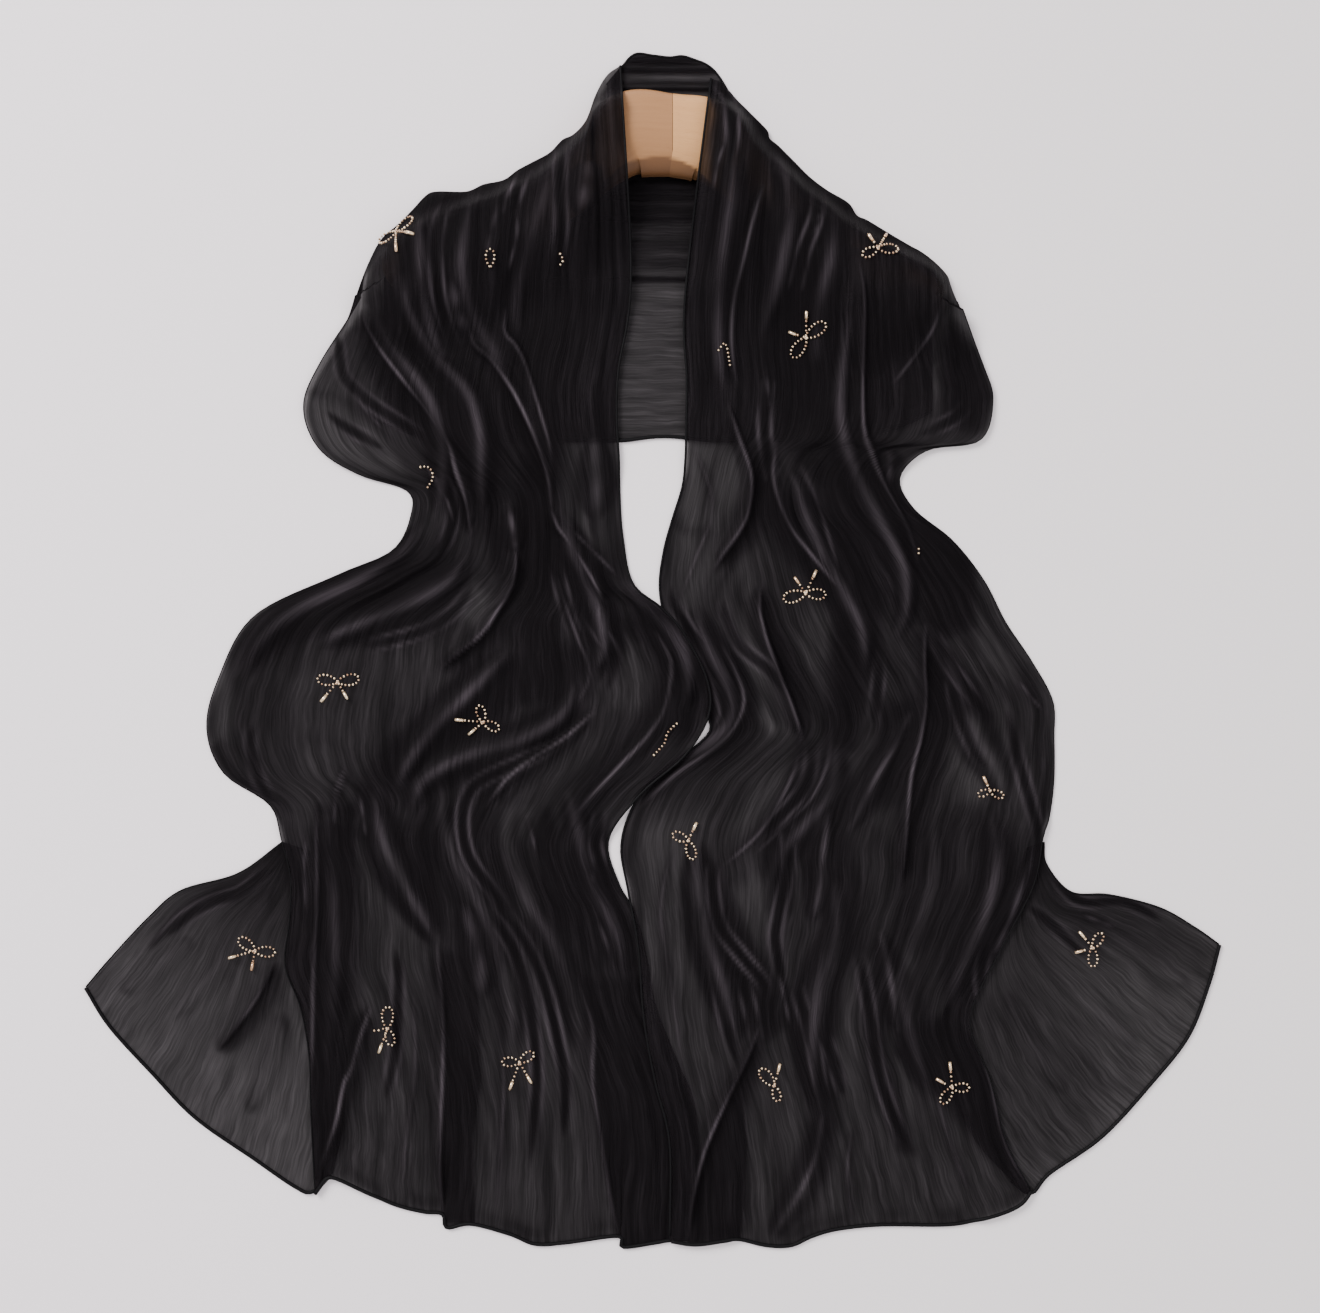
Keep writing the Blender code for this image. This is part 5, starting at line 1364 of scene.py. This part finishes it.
def hanger_half(name, arm, joint_gap, tone):
    """One arm: rounded sections along its spine, closed at the glue joint and rounded at its end. Its top
    below the neck's arch and its underside carry painted shade.
    """
    across = np.sin(np.linspace(-np.pi / 2, np.pi / 2, ARM_ACROSS))
    spine = course(arm, ARM_SECTIONS)
    spine[0, 0] += joint_gap
    tangent = np.gradient(spine[:, :2], axis=0)
    tangent[0] = (np.sign(joint_gap), 0)
    tangent /= np.linalg.norm(tangent, axis=1)[:, None]
    sections = [(spine[i, :2], tangent[i], spine[i, 2], spine[i, 3]) for i in range(len(spine))]
    half_width, thickness = spine[-1, 2:]
    for angle in np.radians(ARM_END_TURNS):
        centre = spine[-1, :2] + tangent[-1] * half_width * np.sin(angle)
        sections.append((centre, tangent[-1], half_width * np.cos(angle), thickness * np.cos(angle) ** 0.5))
    points = []
    grain = []
    shaded_face = []
    reach = 0
    last = sections[0][0]
    for centre, along, half_width, thickness in sections:
        reach += np.linalg.norm(centre - last)
        last = centre
        normal = np.array([-along[1], along[0]])
        for v in across:
            place = centre + normal * v * half_width
            crown = ARM_RIM + (1 - ARM_RIM) * max(0, 1 - v**2) ** 0.5
            points.append((*place, HANGER_REST + thickness * crown))
            grain.append((reach, v * half_width))
            # Painted shade where the top turns down below the neck's arch, and on the underside
            arch = np.interp(place[0], [row[0] for row in NECK_ARCH], [row[1] for row in NECK_ARCH])
            shaded_face.append(FACE_SHADE * float(rising(arch - place[1], FACE_START, FACE_RUN)))
        for v in across[::-1]:
            place = centre + normal * v * half_width
            points.append((*place, HANGER_REST))
            grain.append((reach, v * half_width))
            shaded_face.append(UNDERSIDE_SHADE)
    ring = 2 * len(across)
    faces = []
    for s in range(len(sections) - 1):
        for k in range(ring):
            after = (k + 1) % ring
            faces.append((s * ring + k, (s + 1) * ring + k, (s + 1) * ring + after, s * ring + after))
    faces.append(tuple(range(ring)))
    faces.append(tuple(len(points) - 1 - k for k in range(ring)))
    mesh = bpy.data.meshes.new(name)
    mesh.from_pydata((np.array(points) * MM).tolist(), [], faces)
    mesh.validate()
    loops = np.array([loop.vertex_index for loop in mesh.loops])
    layer = mesh.uv_layers.new(name="grain")
    layer.data.foreach_set("uv", (np.array(grain)[loops] / FLOW_UNIT).astype(np.float32).ravel())
    side = mesh.color_attributes.new("side", "FLOAT_COLOR", "POINT")
    colours = np.column_stack([shaded_face, np.full(len(shaded_face), tone), np.zeros(len(shaded_face)), np.ones(len(shaded_face))])
    side.data.foreach_set("color", colours.astype(np.float32).ravel())
    mesh.shade_smooth()
    mesh.set_sharp_from_angle(angle=0.9)
    mesh.materials.append(wood)
    return in_scene(name, mesh)


left_arm = hanger_half("hanger_left", LEFT_ARM, -HANGER_GLUE_GAP / 2, 0.0)
right_arm = hanger_half("hanger_right", RIGHT_ARM, HANGER_GLUE_GAP / 2, 1.0)


# The beaded bows

cloth_points = np.vstack([
    points.reshape(-1, 3) for points in (left_points, right_points, left_corner_points, right_corner_points)])


def top_height(x, y):
    """Height of the uppermost cloth near a place."""
    near = np.abs(cloth_points[:, 0] - x) + np.abs(cloth_points[:, 1] - y) < CLOTH_SEARCH
    return cloth_points[near, 2].max() if near.any() else 1.0


def lifted(line):
    """A line on the plan laid on the cloth, in metres."""
    return [(x * MM, y * MM, (top_height(x, y) + BEADS_ABOVE_CLOTH) * MM) for x, y in line]


def toward(degrees):
    """A unit step on the plan in a direction."""
    angle = np.radians(degrees)
    return np.array([np.cos(angle), np.sin(angle)])


def loop_line(knot, direction, length):
    """A teardrop from the bow's knot out to its tip and back."""
    along = toward(direction)
    across = toward(direction + 90)
    turn = np.linspace(KNOT_OPENING, 2 * np.pi - KNOT_OPENING, LOOP_POINTS)
    out = length * (1 - np.cos(turn)) / 2
    wide = LOOP_WIDTH * length / 2 * np.sin(turn) * np.sin(turn / 2) ** 0.5
    return np.array(knot) + out[:, None] * along + wide[:, None] * across


def bead_tree(name, bead, material, one_to_a_line):
    """Geometry nodes that string a bead along lines at a pitch, or set one bead at the start of each line."""
    tree = bpy.data.node_groups.new(name, "GeometryNodeTree")
    face = tree.interface
    face.new_socket("Geometry", in_out="INPUT", socket_type="NodeSocketGeometry")
    pitch = face.new_socket("Pitch", in_out="INPUT", socket_type="NodeSocketFloat")
    spread = face.new_socket("Size spread", in_out="INPUT", socket_type="NodeSocketFloat")
    face.new_socket("Geometry", in_out="OUTPUT", socket_type="NodeSocketGeometry")
    node = tree.nodes.new
    link = tree.links.new
    given = node("NodeGroupInput")
    curve = node("GeometryNodeMeshToCurve")
    link(given.outputs["Geometry"], curve.inputs[0])
    strung = node("GeometryNodeCurveToPoints")
    if one_to_a_line:
        strung.mode = "COUNT"
        strung.inputs["Count"].default_value = 1
        link(curve.outputs[0], strung.inputs[0])
    else:
        evened = node("GeometryNodeResampleCurve")
        evened.mode = "LENGTH"
        link(given.outputs["Pitch"], evened.inputs["Length"])
        link(curve.outputs[0], evened.inputs[0])
        strung.mode = "EVALUATED"
        link(evened.outputs[0], strung.inputs[0])
    size = node("FunctionNodeRandomValue")
    size.data_type = "FLOAT"
    size.inputs["Seed"].default_value = 4
    link(maths(tree, "SUBTRACT", 1.0, given.outputs["Size spread"]), size.inputs[2])
    link(maths(tree, "ADD", 1.0, given.outputs["Size spread"]), size.inputs[3])
    shape = node("GeometryNodeObjectInfo")
    shape.inputs["Object"].default_value = bead
    placed = node("GeometryNodeInstanceOnPoints")
    link(strung.outputs["Points"], placed.inputs["Points"])
    link(strung.outputs["Rotation"], placed.inputs["Rotation"])
    link(shape.outputs["Geometry"], placed.inputs["Instance"])
    link(size.outputs[1], placed.inputs["Scale"])
    tone = node("FunctionNodeRandomValue")
    tone.data_type = "FLOAT"
    tone.inputs["Seed"].default_value = 11
    named = node("GeometryNodeStoreNamedAttribute")
    named.data_type = "FLOAT"
    named.domain = "INSTANCE"
    named.inputs["Name"].default_value = "tone"
    link(placed.outputs[0], named.inputs["Geometry"])
    link(tone.outputs[1], named.inputs["Value"])
    real = node("GeometryNodeRealizeInstances")
    link(named.outputs[0], real.inputs[0])
    finish = node("GeometryNodeSetMaterial")
    finish.inputs["Material"].default_value = material
    link(real.outputs[0], finish.inputs["Geometry"])
    link(finish.outputs[0], node("NodeGroupOutput").inputs[0])
    return tree, pitch.identifier, spread.identifier


def beads(name, lines, bead, spread, material, one_to_a_line):
    """Beads on lines, as one plain mesh."""
    points = []
    edges = []
    for line in lines:
        edges += [(len(points) + i, len(points) + i + 1) for i in range(len(line) - 1)]
        points += line
    mesh = bpy.data.meshes.new(name)
    mesh.from_pydata(points, edges, [])
    piece = in_scene(name, mesh)
    tree, pitch_socket, spread_socket = bead_tree(name, bead, material, one_to_a_line)
    modifier = piece.modifiers.new("beads", "NODES")
    modifier.node_group = tree
    modifier[pitch_socket] = BEAD_PITCH * MM
    modifier[spread_socket] = spread
    seen = bpy.context.evaluated_depsgraph_get()
    plain = bpy.data.meshes.new_from_object(
        piece.evaluated_get(seen), preserve_all_data_layers=True, depsgraph=seen)
    piece.modifiers.remove(modifier)
    piece.data = plain
    piece.data.shade_smooth()
    return piece


def ball_shape():
    """One seed bead, a little flat along its hole."""
    form = bmesh.new()
    bmesh.ops.create_icosphere(form, subdivisions=2, radius=BEAD_RADIUS * MM)
    for vertex in form.verts:
        vertex.co.z *= BEAD_FLATNESS
    return shape_object("ball", form)


def rod_shape():
    """One bugle bead, a tube along z with softened ends."""
    form = bmesh.new()
    radius = ROD_RADIUS * MM
    length = ROD_LENGTH * MM
    bmesh.ops.create_cone(form, cap_ends=True, segments=12, radius1=radius, radius2=radius, depth=length)
    rims = [edge for edge in form.edges if abs(edge.verts[0].co.z - edge.verts[1].co.z) < 1e-6]
    bmesh.ops.bevel(form, geom=rims, offset=ROD_BEVEL * MM, segments=2, affect="EDGES")
    return shape_object("rod", form)


def shape_object(name, form):
    """An object with the finished form."""
    mesh = bpy.data.meshes.new(name)
    form.to_mesh(mesh)
    form.free()
    return bpy.data.objects.new(name, mesh)


strings = [lifted(course(points, STRING_POINTS)) for points in STRINGS]
rods = []
for x, y, loops, tails in BOWS:
    knot = np.array([x, y])
    for direction, length in loops:
        strings.append(lifted(loop_line(knot, direction, length)))
    for direction, length in tails:
        unit = toward(direction)
        middle = knot + unit * length
        rods.append(lifted([middle, middle + unit]))
        strings.append(lifted([knot + unit * KNOT_ROOM, middle - unit * (ROD_LENGTH / 2 + BEAD_RADIUS)]))

ball = ball_shape()
rod = rod_shape()
seed_beads = beads("seed_beads", strings, ball, BEAD_SIZE_SPREAD, seed_glass, one_to_a_line=False)
bugle_beads = beads("bugle_beads", rods, rod, ROD_SIZE_SPREAD, bugle_glass, one_to_a_line=True)
bpy.data.objects.remove(ball)
bpy.data.objects.remove(rod)


# The pale surface, the light and the camera

floor_mesh = bpy.data.meshes.new("surface")
floor_corners = [(SURFACE_HALF * x, SURFACE_HALF * y, 0) for x, y in ((-1, -1), (1, -1), (1, 1), (-1, 1))]
floor_mesh.from_pydata(floor_corners, [], [(0, 1, 2, 3)])
floor_mesh.materials.append(floor_material())
floor = in_scene("surface", floor_mesh)
floor.location.z = -SURFACE_DROP

world = bpy.data.worlds.new("studio")
world.use_nodes = True
world.node_tree.nodes["Background"].inputs["Color"].default_value = (1.0, 0.985, 1.0, 1)
world.node_tree.nodes["Background"].inputs["Strength"].default_value = WORLD_LIGHT
bpy.context.scene.world = world


def soft_light(name, at, size, power, tint):
    """A square panel that faces the origin."""
    data = bpy.data.lights.new(name, "AREA")
    data.shape = "SQUARE"
    data.size = size
    data.energy = power
    data.color = tint
    lamp = in_scene(name, data)
    lamp.location = at
    lamp.rotation_euler = (-Vector(at)).to_track_quat("-Z", "Y").to_euler()


soft_light("window", at=(-2.4, 2.4, 2.7), size=2.1, power=290, tint=(1.0, 0.985, 0.97))
soft_light("fill", at=(1.8, -1.0, 2.2), size=2.2, power=24, tint=(1.0, 0.985, 1.0))

camera_data = bpy.data.cameras.new("camera")
camera_data.sensor_width = CAMERA_SENSOR
camera_data.lens = CAMERA_LENS
camera = in_scene("camera", camera_data)
camera.location = CAMERA_AT
bpy.context.scene.camera = camera


# Each piece under the root, with the model's part that it stands in for hidden

for piece, node, slot_name in (
    (left_front, "left_front", "sheer_cloth"), (right_front, "right_front", "sheer_cloth"),
    (left_corner, "left_corner", "sheer_cloth"), (right_corner, "right_corner", "sheer_cloth"),
    (back_stretch, "back_stretch", "sheer_cloth"), (neck_stand, "neck_stand", "sheer_cloth"),
    (left_arm, "hanger_left_arm", "wood"), (right_arm, "hanger_right_arm", "wood"),
):
    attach(piece, "root")
    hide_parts(node)
for piece in left_hems + right_hems + left_corner_hems + right_corner_hems + back_hems + stand_hems:
    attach(piece, "root")
for piece, slot_name in ((seed_beads, "seed_bead"), (bugle_beads, "bugle_bead")):
    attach(piece, "root")
